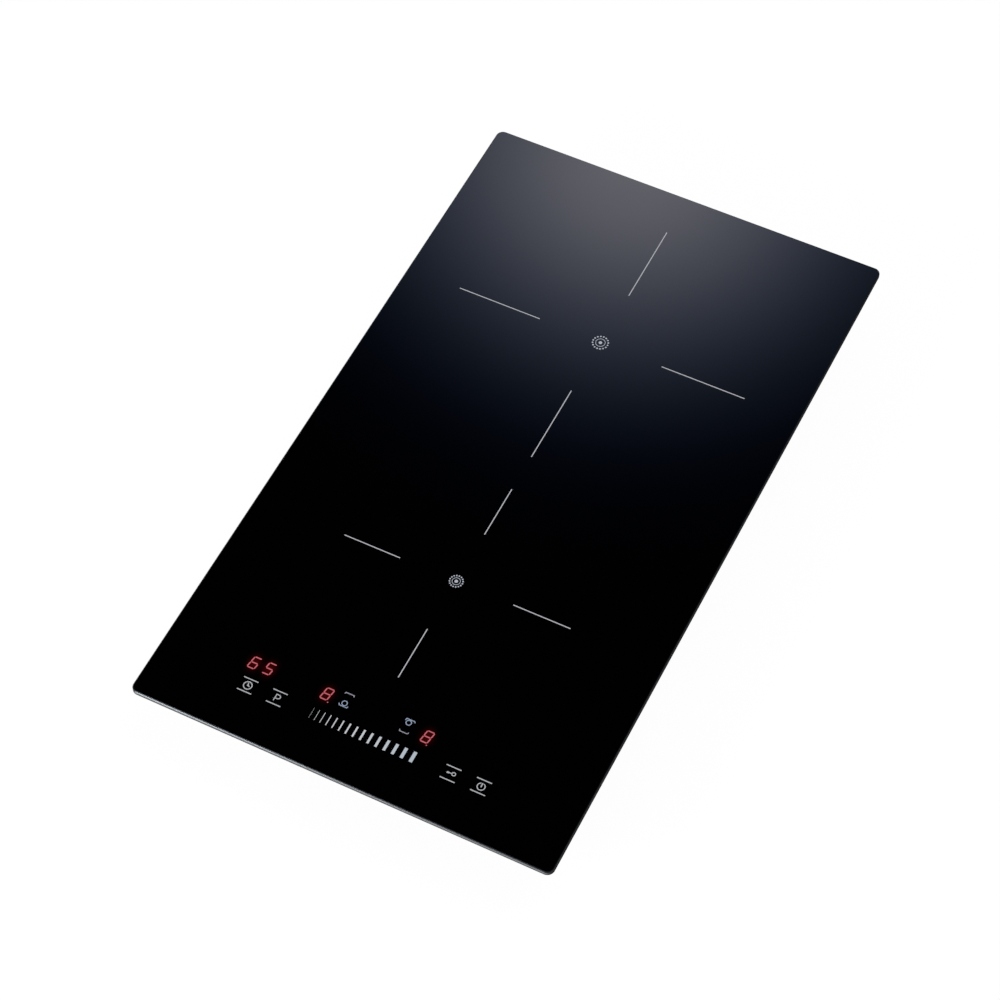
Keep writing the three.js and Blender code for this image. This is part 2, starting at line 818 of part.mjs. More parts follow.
function transistor(name, x, y) {
  const body = block(
    [x - transistorWidth / 2, x + transistorWidth / 2],
    [y, y + transistorLength],
    [seat, seat + transistorThickness],
  );
  const eyeletY = y + transistorLength - eyeletInset;
  const eyelet = disc(eyeletRadius, [-cutPast, transistorThickness + cutPast], x, eyeletY, smallSteps);
  return piece(name, cut(body, eyelet), 'epoxy');
}

// A ring core with its turns of wire, lying on the board.
function chokeSolid() {
  const [inner, outer] = [chokeRadius - chokeCoreWidth / 2, chokeRadius + chokeCoreWidth / 2];
  const low = seat + chokeWire;
  const core = turned(
    [
      [inner, low],
      [outer, low],
      [outer, low + chokeCoreHeight],
      [inner, low + chokeCoreHeight],
    ],
    roundSteps,
  );
  const turns = [];
  for (const angle of spokes(chokeTurns)) {
    const span = [inner - chokeWire, outer + chokeWire];
    turns.push(spokeBlock(angle, span, chokeWire, [seat, low + chokeCoreHeight + chokeWire]));
  }
  return join(core, ...turns);
}

function filmCapacitor(name, x, y) {
  const shape = roundedRect(capacitorWidth, capacitorLength, sheet, x, y);
  return piece(name, prism(shape, [seat, seat + capacitorHeight], 1), 'yellowFilm');
}

function canSolid(x, y) {
  const rimLow = canHeight - canRim;
  const body = turned([
    [0, seat],
    [canRadius, seat],
    [canRadius, rimLow - 2 * canGroove],
    [canRadius - canGroove, rimLow - canGroove],
    [canRadius, rimLow],
    [canRadius, canHeight],
    [0, canHeight],
  ], smallSteps);
  return body.translate(x, y, 0);
}

// Two halves of a core round a wound bobbin.
function transformerSolid(x, y) {
  const half = transformerSize / 2;
  const core = block([x - half, x + half], [y - half / 2, y + half / 2], [seat, transformerHeight]);
  const bobbin = block([x - bobbinWidth / 2, x + bobbinWidth / 2], [y - half, y + half],
    [seat, transformerHeight - sheet]);
  return join(core, bobbin);
}

function makePower() {
  const postStrip = postInset + postRadius + sheet; // kept free along the board's sides
  const sinkX = -boardHalfWidth + postStrip;
  const sinkBack = boardBack - sinkSetback;
  const sinkFront = sinkBack - sinkLength;
  const middle = sinkX + sinkWidth / 2;
  const sink = prismAlongY(heatSinkShape(), [sinkFront, sinkBack]).translate(sinkX, 0, 0);
  const bay = sinkLength / 3; // the length of the heat sink over each power device
  const deviceY = (i) => sinkFront + (i + 0.5) * bay - transistorLength / 2;
  const right = boardHalfWidth - postStrip;
  const capX = right - capacitorWidth / 2;
  const chokeOuter = chokeRadius + chokeCoreWidth / 2 + chokeWire;
  const chokeX = right - chokeOuter;
  const chokeY = boardBack - sinkSetback - chokeOuter;
  const firstCapY = chokeY - chokeOuter - componentGap - capacitorLength / 2;
  const nextCap = capacitorLength + componentGap;
  const lowCapX = sinkX + capacitorWidth / 2;
  const lowY = sinkFront - componentGap;
  const members = [
    piece('heat_sink', sink, 'aluminium'),
    transistor('rear_zone_transistor', middle, deviceY(2)),
    transistor('front_zone_transistor', middle, deviceY(1)),
    transistor('bridge_rectifier', middle, deviceY(0)),
    piece('filter_choke', chokeSolid().translate(chokeX, chokeY, 0), 'copper'),
    filmCapacitor('rear_zone_capacitor', capX, firstCapY),
    filmCapacitor('front_zone_capacitor', capX, firstCapY - nextCap),
    piece('smoothing_capacitor', canSolid(lowCapX + componentGap, lowY - canRadius), 'blackPlastic'),
    piece(
      'standby_transformer',
      transformerSolid(middle + transformerSize, lowY - transformerSize / 2),
      'yellowFilm',
    ),
  ];
  return groupAt(0, 0, boardTop, ...members);
}

// ---- Fan ----

// The scroll's outline: a spiral that widens anticlockwise and runs out into a duct to the front.
function scrollShape(growth, outlet) {
  const tongue = THREE.MathUtils.degToRad(scrollTongue);
  const end = 3 * Math.PI;
  const steps = roundSteps;
  const points = [];
  for (let i = 0; i <= steps; i++) {
    const angle = tongue + ((end - tongue) * i) / steps;
    const share = (angle - tongue) / (end - tongue);
    const radius = scrollStart + growth + scrollGrowth * share;
    points.push([radius * Math.cos(angle), radius * Math.sin(angle)]);
  }
  const ductInner = scrollStart * Math.cos(tongue) + growth;
  points.push([-(scrollEnd + growth), -outlet], [ductInner, -outlet]);
  points[0][0] = ductInner;
  return polygon(points);
}

function makeFan() {
  const outlet = scrollEnd + outletLength;
  const outside = prism(scrollShape(fanWall, outlet), [0, fanHeight]);
  const inside = prism(scrollShape(0, outlet + cutPast), [fanWall, fanHeight - fanWall]);
  const mouthRadius = impellerRadius - bladeDepth + running;
  const mouth = disc(mouthRadius, [-cutPast, fanWall + cutPast]);
  const housing = piece('fan_housing', cut(outside, inside, mouth), 'blackPlastic');

  const low = impellerLow - fanLow;
  const top = low + impellerHeight;
  const rotorInside = motorRadius + running;
  const motorLow = low + 2 * impellerPlate + running;
  const motorTop = fanHeight - fanWall - seat;
  const motor = turned([
    [0, low],
    [shaftRadius, low],
    [shaftRadius, motorLow],
    [motorRadius, motorLow],
    [motorRadius, motorTop],
    [0, motorTop],
  ]);

  const rotor = turned([
    [shaftRadius + seat, low],
    [rotorInside, low],
    [rotorInside + rotorWall, low + 2 * impellerPlate],
    [rotorInside + rotorWall, top - impellerPlate],
    [impellerRadius, top - impellerPlate],
    [impellerRadius, top],
    [rotorInside, top],
    [rotorInside, low + 2 * impellerPlate],
    [shaftRadius + seat, low + 2 * impellerPlate],
  ]);
  const rim = turned([
    [impellerRadius - bladeDepth / 3, low],
    [impellerRadius, low],
    [impellerRadius, low + impellerPlate],
    [impellerRadius - bladeDepth / 3, low + impellerPlate],
  ]);
  const bladeSpan = [low + impellerPlate / 2, top - impellerPlate / 2];
  const blades = [];
  for (let i = 0; i < bladeCount; i++) blades.push(fanBlade((2 * Math.PI * i) / bladeCount, bladeSpan));
  const wheel = join(rotor, rim, ...blades);
  return groupAt(
    fanX,
    fanY,
    fanLow,
    housing,
    piece('fan_motor', motor, 'steel'),
    piece('fan_impeller', wheel, 'greyPlastic'),
  );
}

// One forward-curved blade between the inner and outer radius of the wheel.
function fanBlade(turn, z) {
  const front = [];
  const back = [];
  for (let i = 0; i <= bladeSteps; i++) {
    const share = i / bladeSteps;
    const radius = impellerRadius - bladeDepth * (1 - share) - seat;
    const angle = turn + bladeLean * share * share;
    const half = bladeThickness / 2 / radius;
    front.push([radius * Math.cos(angle - half), radius * Math.sin(angle - half)]);
    back.unshift([radius * Math.cos(angle + half), radius * Math.sin(angle + half)]);
  }
  return prism(polygon([...front, ...back]), z);
}

// ---- Controls ----

function makeControls() {
  const legX = innerHalfWidth - seat;
  const boardUnder = glassUnderside - 3 * seat - displayHeight - boardThickness;
  const holderTop = boardUnder - seat;
  const y = [-innerHalfDepth + seat, holderBack];
  const middleY = (y[0] + y[1]) / 2;
  const plate = block([-legX, legX], y, [holderTop - holderSheet, holderTop]);
  const legs = [];
  for (const side of [-1, 1]) {
    const inner = side * (legX - holderSheet);
    const x = [Math.min(inner, side * legX), Math.max(inner, side * legX)];
    legs.push(block(x, y, [shelfTop + seat, holderTop]));
  }
  // Walls that frame the board, and windows that lighten the plate under it.
  const frameX = controlBoardWidth / 2 + seat;
  const frameY = controlBoardDepth / 2 + seat;
  const frame = cut(
    block([-frameX - holderSheet, frameX + holderSheet], [middleY - frameY - holderSheet,
      middleY + frameY + holderSheet], [holderTop - sheet, holderTop + 2 * sheet]),
    block([-frameX, frameX], [middleY - frameY, middleY + frameY], [holderTop, holderTop + 3 * sheet]),
  );
  const windows = [-1, 0, 1].map((step) => {
    const width = controlBoardWidth / 4;
    const shape = roundedRect(width, controlBoardDepth / 2, holderSheet, step * 1.25 * width, middleY);
    return prism(shape, [holderTop - holderSheet - cutPast, holderTop + cutPast], 1);
  });
  const room = prism(
    roundedRect(2 * legX, 2 * (innerHalfDepth - seat), trayCorner - sheet - seat),
    [shelfTop, glassUnderside],
  );
  const holder = cut(join(plate, ...legs, frame).intersect(room), ...windows);

  const boardShape = roundedRect(controlBoardWidth, controlBoardDepth, sheet, 0, middleY);
  const board = prism(boardShape, [boardUnder, boardUnder + boardThickness], 1);
  const displayLow = boardUnder + boardThickness + seat;
  const displayY = middleY + displayRowBack;
  const timerDisplayX = -controlBoardWidth / 2 + timerDisplayInset;
  return [
    piece('control_holder', holder, 'greyPlastic'),
    piece('control_board', board, 'board'),
    displayModule('timer_display', timerDisplayX, displayY, 2, displayLow),
    displayModule('front_zone_display', frontDisplayX, displayY, 1, displayLow),
    displayModule('rear_zone_display', rearDisplayX, displayY, 1, displayLow),
    makeLightGuide(middleY - keyRowFront, displayLow),
  ];
}

// A clear moulding on the control board: a boss under each printed key, and a bar under the slider.
function makeLightGuide(y, low) {
  const top = glassUnderside - seat;
  const outerKey = controlBoardWidth / 2 - keyInset;
  const strip = roundedRect(2 * outerKey + keyWidth, keyDepth, guideSheet, 0, y);
  const parts = [prism(strip, [low, low + guideSheet], 1)];
  for (const x of [-outerKey, keyPitch - outerKey, outerKey - keyPitch, outerKey]) {
    parts.push(prism(roundedRect(keyWidth, keyDepth, guideSheet, x, y), [low, top], 1));
  }
  const slider = roundedRect(sliderLength, keyDepth - 2 * guideSheet, guideSheet, 0, y);
  parts.push(prism(slider, [low, top], 1));
  return piece('touch_light_guide', join(...parts), 'clearPlastic');
}

// A display module: a block with one shallow window for each digit.
function displayModule(name, x, y, digits, low) {
  const width = digits * digitWidth;
  const top = low + displayHeight;
  const body = block([x - width / 2, x + width / 2],
    [y - digitModuleDepth / 2, y + digitModuleDepth / 2], [low, top]);
  const windows = [];
  for (let i = 0; i < digits; i++) {
    const left = x - width / 2 + i * digitWidth;
    windows.push(block([left + sheet, left + digitWidth - sheet],
      [y - digitModuleDepth / 2 + 2 * sheet, y + digitModuleDepth / 2 - 2 * sheet],
      [top - sheet / 2, top + cutPast]));
  }
  return piece(name, cut(body, ...windows), 'display');
}

// ---- Mains terminals ----

function makeTerminals() {
  const top = terminalLow + terminalHeight;
  const front = terminalBack - terminalDepth;
  const tub = cut(
    block([terminalLeft, terminalRight], [front, terminalBack], [terminalLow, top]),
    block(
      [terminalLeft + terminalWall, terminalRight - terminalWall],
      [front + terminalWall, terminalBack + cutPast],
      [terminalLow + terminalWall, top - terminalWall],
    ),
  );

  const blockWidth = poleCount * polePitch;
  const blockLow = terminalLow + terminalWall + seat;
  const blockY = [front + terminalWall + seat, front + terminalWall + seat + blockDepth];
  const body = block([accessX - blockWidth / 2, accessX + blockWidth / 2], blockY,
    [blockLow, blockLow + blockHeight]);
  const entries = [];
  for (let i = 0; i < poleCount; i++) {
    const x = accessX + (i - (poleCount - 1) / 2) * polePitch;
    const half = polePitch / 3;
    const y = [blockY[1] - blockDepth / 2, blockY[1] + cutPast];
    const low = blockLow + blockHeight / 4;
    entries.push(block([x - half, x + half], y, [low - half, low + half]));
    const screwWell = circle(half, x, blockLow + 0.7 * blockHeight, 8);
    entries.push(prismAlongY(screwWell, y));
  }

  const halfCover = accessWidth / 2 + coverLap;
  const coverBack = backFace + seat + coverThickness;
  const coverTop = accessLow + accessHeight + coverLap;
  const panel = block([accessX - halfCover, accessX + halfCover], [backFace + seat, coverBack],
    [hingeZ, coverTop]);
  const knuckle = prismAlongX(
    circle(knuckleRadius, hingeY, hingeZ, smallSteps),
    [accessX - halfCover, accessX + halfCover],
  );
  const tab = block([accessX - earLength, accessX + earLength],
    [coverBack - sheet, coverBack + coverThickness], [coverTop - coverLap, coverTop]);
  const pinX = halfCover + seat + earLength;
  const pinSpan = [accessX - pinX, accessX + pinX];
  const pinBore = prismAlongX(circle(pinRadius + seat, hingeY, hingeZ, smallSteps),
    [pinSpan[0] - cutPast, pinSpan[1] + cutPast]);
  const pin = prismAlongX(circle(pinRadius, hingeY, hingeZ, smallSteps), pinSpan);

  return [
    piece('terminal_box', tub, 'greyPlastic'),
    piece('terminal_block', cut(body, ...entries), 'ceramic'),
    piece('terminal_cover', cut(join(panel, knuckle, tab), pinBore), 'blackPlastic'),
    piece('cover_hinge_pin', pin, 'steel'),
    makeGland(),
  ];
}

// The bush that lines the hole where the mains lead goes in.
function makeGland() {
  const outer = backFace + seat;
  const neck = turned([
    [glandBore, -sheet - seat - sheet],
    [glandRadius, -sheet - seat - sheet],
    [glandRadius, 0],
    [glandRadius + glandFlange, 0],
    [glandRadius + glandFlange, sheet],
    [glandRadius, 2 * sheet],
    [glandBore, 2 * sheet],
  ], 2 * smallSteps);
  const mesh = piece('cable_gland', neck, 'blackPlastic');
  mesh.rotation.x = -Math.PI / 2;
  mesh.position.set(glandX, outer, glandZ);
  return mesh;
}

// ---- Worktop clamps ----

// The arm along +X from its screw: a pad under the step, a drop and a toe with a turned-up tip.
function clampSolid() {
  const toeTop = -clampDrop;
  const toeLow = toeTop - clampSheet;
  const tip = 1.5 * clampSheet;
  const start = -clampWidth / 2;
  const profile = new THREE.Shape();
  profile.moveTo(start, 0);
  profile.lineTo(start, -clampSheet);
  profile.lineTo(clampPad - 2 * clampSheet, -clampSheet);
  profile.quadraticCurveTo(clampPad - clampSheet, -clampSheet, clampPad - clampSheet, -2 * clampSheet);
  profile.lineTo(clampPad - clampSheet, toeLow + clampSheet);
  profile.quadraticCurveTo(clampPad - clampSheet, toeLow, clampPad, toeLow);
  profile.lineTo(clampReach, toeLow);
  profile.lineTo(clampReach, toeTop + tip);
  profile.lineTo(clampReach - clampSheet, toeTop + tip);
  profile.lineTo(clampReach - clampSheet, toeTop);
  profile.lineTo(clampPad + clampSheet / 2, toeTop);
  profile.quadraticCurveTo(clampPad, toeTop, clampPad, toeTop + clampSheet / 2);
  profile.lineTo(clampPad, -clampSheet / 2);
  profile.quadraticCurveTo(clampPad, 0, clampPad - clampSheet / 2, 0);
  const strap = prismAlongY(profile, [-clampWidth / 2, clampWidth / 2], 2);
  const plan = join(
    disc(clampWidth / 2, [toeLow - cutPast, cutPast]),
    block([0, clampReach + cutPast], [-clampWidth / 2, clampWidth / 2], [toeLow - cutPast, cutPast]),
  );
  const hole = disc(clampScrewRadius + seat, [-clampSheet - cutPast, cutPast], 0, 0, smallSteps);
  return cut(strap.intersect(plan), hole);
}

function makeClamps() {
  const members = [];
  for (const [sideName, side] of [['left', -1], ['right', 1]]) {
    for (const [endName, end] of [['front', -1], ['rear', 1]]) {
      const clamp = piece(`worktop_clamp_${endName}_${sideName}`, clampSolid(), 'steel');
      clamp.position.set(side * clampX, end * clampY, clampTop);
      clamp.rotation.z = (-end * Math.PI) / 2; // stowed, the arm points to the tray's middle
      const fixing = screw(`clamp_screw_${endName}_${sideName}`, clampScrewRadius,
        clampSheet + sheet + screwLength);
      fixing.position.set(side * clampX, end * clampY, clampTop - clampSheet);
      const held = screw(`carrier_screw_${endName}_${sideName}`, carrierScrewRadius,
        sheet + carrierSheet + screwLength);
      held.position.set(side * clampX, end * carrierScrewY, stepHeight);
      members.push(clamp, fixing, held);
    }
  }
  return members;
}

// ---- Assembly ----

const cooktop = new THREE.Group();
cooktop.add(
  makeGlass(),
  makeSeal(),
  makeTray(),
  makeCarrier(),
  makeCoil('rear', rearCoilRadius, rearFerriteCount, rearZoneY),
  makeCoil('front', frontCoilRadius, frontFerriteCount, frontZoneY),
  makeBoard(),
  makePower(),
  makeFan(),
  ...makeControls(),
  ...makeTerminals(),
  ...makeClamps(),
);

export default cooktop;
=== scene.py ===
import json
import math

import bmesh
import bpy
from mathutils import Matrix, Vector


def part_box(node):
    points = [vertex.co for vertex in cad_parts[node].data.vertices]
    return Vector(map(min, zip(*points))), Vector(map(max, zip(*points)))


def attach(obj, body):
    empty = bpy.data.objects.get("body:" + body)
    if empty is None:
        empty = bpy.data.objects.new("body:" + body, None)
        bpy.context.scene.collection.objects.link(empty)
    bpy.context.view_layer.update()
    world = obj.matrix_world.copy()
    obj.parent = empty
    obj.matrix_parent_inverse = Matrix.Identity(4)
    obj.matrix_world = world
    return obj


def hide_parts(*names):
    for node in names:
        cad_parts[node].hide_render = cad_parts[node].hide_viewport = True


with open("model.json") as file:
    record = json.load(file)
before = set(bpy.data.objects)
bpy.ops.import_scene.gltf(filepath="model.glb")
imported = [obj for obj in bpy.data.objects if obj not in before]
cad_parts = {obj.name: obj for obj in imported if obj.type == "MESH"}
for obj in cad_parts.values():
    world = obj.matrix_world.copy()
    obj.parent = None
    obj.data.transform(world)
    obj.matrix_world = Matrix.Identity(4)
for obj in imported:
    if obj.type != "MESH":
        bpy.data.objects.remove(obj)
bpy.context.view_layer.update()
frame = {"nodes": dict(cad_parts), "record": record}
mm = 0.001  # lengths below are in millimetres unless a note says otherwise
print("frame loaded:", len(frame["nodes"]), "nodes")


# outlines: lists of points (x, y)

def arc(middle, radius, start, end, steps):
    x, y = middle
    angles = [math.radians(start + (end - start) * step / steps) for step in range(steps + 1)]
    return [(x + radius * math.cos(angle), y + radius * math.sin(angle)) for angle in angles]


def circle(middle, radius, steps=24):
    return arc(middle, radius, 0, 360, steps)[:-1]


def boxAt(middle, size):
    # low and high corner
    return tuple(tuple(middle[i] + side * size[i] / 2 for i in (0, 1)) for side in (-1, 1))


def insetBox(low, high, inset):
    return (low[0] + inset, low[1] + inset), (high[0] - inset, high[1] - inset)


def roundedRect(low, high, radius, steps=8):
    (left, front), (right, back) = insetBox(low, high, radius)
    points = []
    for quarter, middle in enumerate([(right, back), (left, back), (left, front), (right, front)]):
        points += arc(middle, radius, 90 * quarter, 90 * quarter + 90, steps)
    return points


def shifted(outline, middle):
    return [(middle[0] + x, middle[1] + y) for x, y in outline]


# shells: lists of rings of points (x, y, z); open ends get a cap, and a shell whose last
# ring is its first closes on itself

def level(outline, z):
    return [(x, y, z) for x, y in outline]


# a profile's first two numbers lie across the named axis, its third along it
axes = {
    "x": Matrix(((0, 0, 1), (1, 0, 0), (0, 1, 0))),
    "y": Matrix(((1, 0, 0), (0, 0, 1), (0, 1, 0))),
    "z": Matrix.Identity(3),
}


def prism(outline, low, high, axis="z"):
    return [[axes[axis] @ Vector(point) for point in level(outline, end)] for end in (low, high)]


def turn(profile, middle, axis="z", steps=24, closed=False):
    # a profile of (radius, height) turned about an axis through middle
    rings = []
    for radius, height in profile:
        outline = level(circle((0, 0), radius, steps), height)
        rings.append([Vector(middle) + axes[axis] @ Vector(point) for point in outline])
    return rings + rings[:1] if closed else rings


def loft(bm, rings):
    closed = rings[-1] is rings[0]
    rows = [[bm.verts.new(point) for point in row] for row in (rings[:-1] if closed else rings)]
    if closed:
        rows.append(rows[0])
    for lower, upper in zip(rows, rows[1:]):
        for i in range(len(lower)):
            j = (i + 1) % len(lower)
            bm.faces.new((lower[i], lower[j], upper[j], upper[i]))
    if not closed:
        bm.faces.new(rows[0][::-1])
        bm.faces.new(rows[-1])


# pieces

def boxOf(name):
    low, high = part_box(name)
    return low / mm, high / mm


def link(name, data):
    piece = bpy.data.objects.new(name, data)
    bpy.context.scene.collection.objects.link(piece)
    return piece


def toPiece(name, shells, *materials):
    # millimetres to metres, with the faces turned outwards
    bm = bmesh.new()
    for rings in shells:
        loft(bm, rings)
    bmesh.ops.scale(bm, vec=(mm, mm, mm), verts=bm.verts)
    bmesh.ops.recalc_face_normals(bm, faces=bm.faces)
    mesh = bpy.data.meshes.new(name)
    bm.to_mesh(mesh)
    bm.free()
    for material in materials:
        mesh.materials.append(material)
    return link(name, mesh)


def bake(piece):
    # keep what the modifiers make, and drop them
    graph = bpy.context.evaluated_depsgraph_get()
    mesh = bpy.data.meshes.new_from_object(piece.evaluated_get(graph), depsgraph=graph)
    piece.modifiers.clear()
    piece.data = mesh


def modify(piece, kind, **settings):
    modifier = piece.modifiers.new(kind.lower(), kind)
    for key, value in settings.items():
        setattr(modifier, key, value)
    bake(piece)


def carve(piece, tool, operation="DIFFERENCE"):
    # the tool is a piece or a list of shells
    if isinstance(tool, list):
        tool = toPiece("tool", tool)
    modify(piece, "BOOLEAN", operation=operation, solver="EXACT", object=tool)
    bpy.data.objects.remove(tool)


def soften(piece, width):
    limit = math.radians(35)
    modify(piece, "BEVEL", width=width * mm, segments=2, limit_method="ANGLE", angle_limit=limit)


def settle(piece, slot, *nodes, body="housing"):
    # smooth across bends, flat across sheets; then to its body
    piece.data.shade_smooth()
    piece.data.set_sharp_from_angle(angle=math.radians(35))
    modify(piece, "WEIGHTED_NORMAL", keep_sharp=True)
    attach(piece, body)
    if nodes:
        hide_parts(*nodes)


def makePart(name, shells, slot, *nodes):
    settle(toPiece(name, shells, finishes[slot]), slot, *nodes)


# nodes

def isSocket(value):
    return isinstance(value, bpy.types.NodeSocket)


def fill(made, inputs):
    # a link for each input that is given a socket, a fixed value for the others
    for key, value in inputs.items():
        if isSocket(value):
            made.id_data.links.new(value, made.inputs[key])
        else:
            made.inputs[key].default_value = value


def node(host, kind, inputs=None, output=0, **settings):
    # a node in the tree that the host is, has or belongs to; gives one of its outputs
    tree = getattr(host, "node_tree", None) or host.id_data
    made = tree.nodes.new(kind)
    for key, value in settings.items():
        setattr(made, key, value)
    fill(made, inputs or {})
    return made.outputs[output] if made.outputs else made


def combined(kind, values, output=0, **settings):
    # the values are numbers or sockets, and one at least is a socket
    host = next(value for value in values if isSocket(value))
    return node(host, kind, dict(enumerate(values)), output, **settings)


def maths(operation, *values):
    return combined("ShaderNodeMath", values, operation=operation)


def times(first, *others):
    for other in others:
        first = maths("MULTIPLY", first, other)
    return first


def vector(*values):
    return combined("ShaderNodeCombineXYZ", values)


def vectorMaths(operation, *values, output=0):
    return combined("ShaderNodeVectorMath", values, output, operation=operation)


def split(value, kind="ShaderNodeSeparateXYZ"):
    return node(value, kind, {0: value}).node.outputs


def mixColor(share, first, second):
    return node(share, "ShaderNodeMix", {0: share, 6: first, 7: second}, 2, data_type="RGBA")


def bell(value, middle, width):
    away = maths("DIVIDE", maths("SUBTRACT", value, middle), width)
    return maths("EXPONENT", times(away, away, -0.5))


# geometry trees

def instances(points, part, **more):
    return node(points, "GeometryNodeInstanceOnPoints", {"Points": points, "Instance": part, **more})


def moved(geometry, **inputs):
    return node(geometry, "GeometryNodeTransform", {"Geometry": geometry, **inputs})


def sweep(path, section):
    inputs = {"Curve": path, "Profile Curve": section, "Fill Caps": True}
    return node(path, "GeometryNodeCurveToMesh", inputs)


def roundedSection(width, height, share, steps):
    # a rectangle whose corners are rounded by a share of its width
    inputs = {"Width": width, "Height": height}
    outline = node(width, "GeometryNodeCurvePrimitiveQuadrilateral", inputs)
    inputs = {"Curve": outline, "Count": steps, "Radius": times(width, share)}
    return node(width, "GeometryNodeFilletCurve", inputs, mode="POLY")


def placed(points, position):
    return node(points, "GeometryNodeSetPosition", {"Geometry": points, "Position": position})


def makeTree(shape, values):
    # a tree with a named input for each value: shape makes its geometry from them, which is
    # moved to the middle and joined to what the piece has already
    kinds = {int: "Int", float: "Float", tuple: "Vector"}
    tree = bpy.data.node_groups.new(shape.__name__, "GeometryNodeTree")
    tree.interface.new_socket("geometry", in_out="INPUT", socket_type="NodeSocketGeometry")
    for key, value in values.items():
        kind = "NodeSocket" + kinds.get(type(value), type(value).__name__)  # or Object and Material
        socket = tree.interface.new_socket(key, in_out="INPUT", socket_type=kind)
        if type(value) in kinds:
            socket.default_value = value
    tree.interface.new_socket("geometry", in_out="OUTPUT", socket_type="NodeSocketGeometry")
    sockets = tree.nodes.new("NodeGroupInput").outputs
    given = {key: sockets[key] for key in values}
    middle, material = given.pop("middle"), given.pop("material")
    grown = moved(shape(tree, **given), Translation=middle)
    joined = tree.nodes.new("GeometryNodeJoinGeometry")
    for geometry in (sockets["geometry"], grown):
        tree.links.new(geometry, joined.inputs[0])
    real = node(tree, "GeometryNodeRealizeInstances", {0: joined.outputs[0]})
    painted = node(tree, "GeometryNodeSetMaterial", {"Geometry": real, "Material": material})
    node(tree, "NodeGroupOutput", {0: painted})
    return tree


def grow(name, shape, lengths, start=None, **others):
    # run a geometry tree once and keep its result as a plain mesh
    values = dict(others)
    for key, value in lengths.items():
        values[key] = tuple(float(part * mm) for part in value) if hasattr(value, "__len__") else value * mm
    tree = bpy.data.node_groups.get(shape.__name__) or makeTree(shape, values)
    piece = start or link(name, bpy.data.meshes.new(name))
    modifier = piece.modifiers.new("grow", "NODES")
    modifier.node_group = tree
    for item in tree.interface.items_tree:
        if item.name in values:
            modifier[item.identifier] = values[item.name]
    bake(piece)
    return piece


# camera

glassLow, glassHigh = boxOf("glass_panel")
glassTop = glassHigh.z

view = {
    "aim": (-2.84, -27.87),  # on the glass, from its middle
    "distance": 1891.5,
    "elevation": 55.54,  # degrees
    "azimuth": 27.86,
    "roll": 1.474,
    "fieldOfView": 19.298,
}


def placeCamera():
    camera = link("camera", bpy.data.cameras.new("camera"))
    rise, turned = math.radians(view["elevation"]), math.radians(view["azimuth"])
    flat = math.cos(rise)
    toCamera = Vector((flat * math.sin(turned), -flat * math.cos(turned), math.sin(rise)))
    place = Vector((*view["aim"], glassTop)) + toCamera * view["distance"]
    lean = Matrix.Rotation(-math.radians(view["roll"]), 3, "Z")
    look = toCamera.to_track_quat("Z", "Y").to_matrix() @ lean
    camera.matrix_world = Matrix.LocRotScale(place * mm, look.to_quaternion(), None)
    camera.data.angle = math.radians(view["fieldOfView"])
    camera.data.clip_end = 20
    bpy.context.scene.camera = camera


placeCamera()
print("camera placed")


# stage: pale floor, soft lamps and the light of the room

room = {
    "floorSize": 6000,
    "floorGap": 0.05,  # the floor lies this far under the object
    "floorShadow": 0.06,  # share of the floor's own shading that the camera sees
    "floorWhite": 1.015,
    "fill": (0.679, 0.686, 0.7),
    "glowElevation": 48.9,  # degrees: the lit part of the room that the glass shows
    "glowAzimuth": 23.5,  # from the back towards the left
    "glowHeight": 2.21,
    "glowWidth": 3.9,
    "glowStrength": 3.0,
    "glowColor": ((0.86, 1.3), (0.86, 1.175), (1.0, 1.0)),  # share and fall of red, green and blue
    "horizonRise": 15,
    "horizonDrop": 18,
    "horizonStrength": 0.85,
    "darkAzimuth": -44,  # a dark stretch of the horizon, behind on the right
    "darkWidth": 14,
    "darkShare": 0.95,
    "floorGlow": 2.3,  # what polished edges show of the floor in front
    "floorGlowFrom": (-0.264, -0.5, -0.826),
    "floorGlowPower": 6,
}


def glossyLight(world):
    # what a mirror would show in each direction
    direction = node(world, "ShaderNodeTexCoord", output="Generated")
    across, back, up = split(direction)
    toDegrees = 180 / math.pi
    elevation = times(maths("ARCSINE", up), toDegrees)
    azimuth = times(maths("ARCTAN2", times(across, -1), back), toDegrees)
    glow = times(
        bell(elevation, room["glowElevation"], room["glowHeight"]),
        bell(azimuth, room["glowAzimuth"], room["glowWidth"]),
    )
    above = maths("GREATER_THAN", up, 0)
    width = node(above, "ShaderNodeMix", {0: above, 2: room["horizonDrop"], 3: room["horizonRise"]})
    dark = times(bell(azimuth, room["darkAzimuth"], room["darkWidth"]), room["darkShare"])
    horizon = times(bell(elevation, 0, width), maths("SUBTRACT", 1, dark), room["horizonStrength"])
    facing = vectorMaths("DOT_PRODUCT", direction, room["floorGlowFrom"], output="Value")
    floorSide = maths("POWER", maths("MAXIMUM", facing, 0), room["floorGlowPower"])
    lit = maths("MULTIPLY_ADD", floorSide, room["floorGlow"], horizon)
    return vector(*(
        maths("MULTIPLY_ADD", maths("POWER", glow, power), share * room["glowStrength"], lit)
        for share, power in room["glowColor"]
    ))


def paintWorld():
    world = bpy.data.worlds.new("studio")
    bpy.context.scene.world = world
    world.use_nodes = True
    world.node_tree.nodes.clear()
    ray = node(world, "ShaderNodeLightPath").node.outputs
    seen = mixColor(ray["Is Glossy Ray"], (*room["fill"], 1), glossyLight(world))
    seen = mixColor(ray["Is Camera Ray"], seen, (1, 1, 1, 1))
    background = node(world, "ShaderNodeBackground", {"Color": seen, "Strength": 1.0})
    node(world, "ShaderNodeOutputWorld", {0: background})


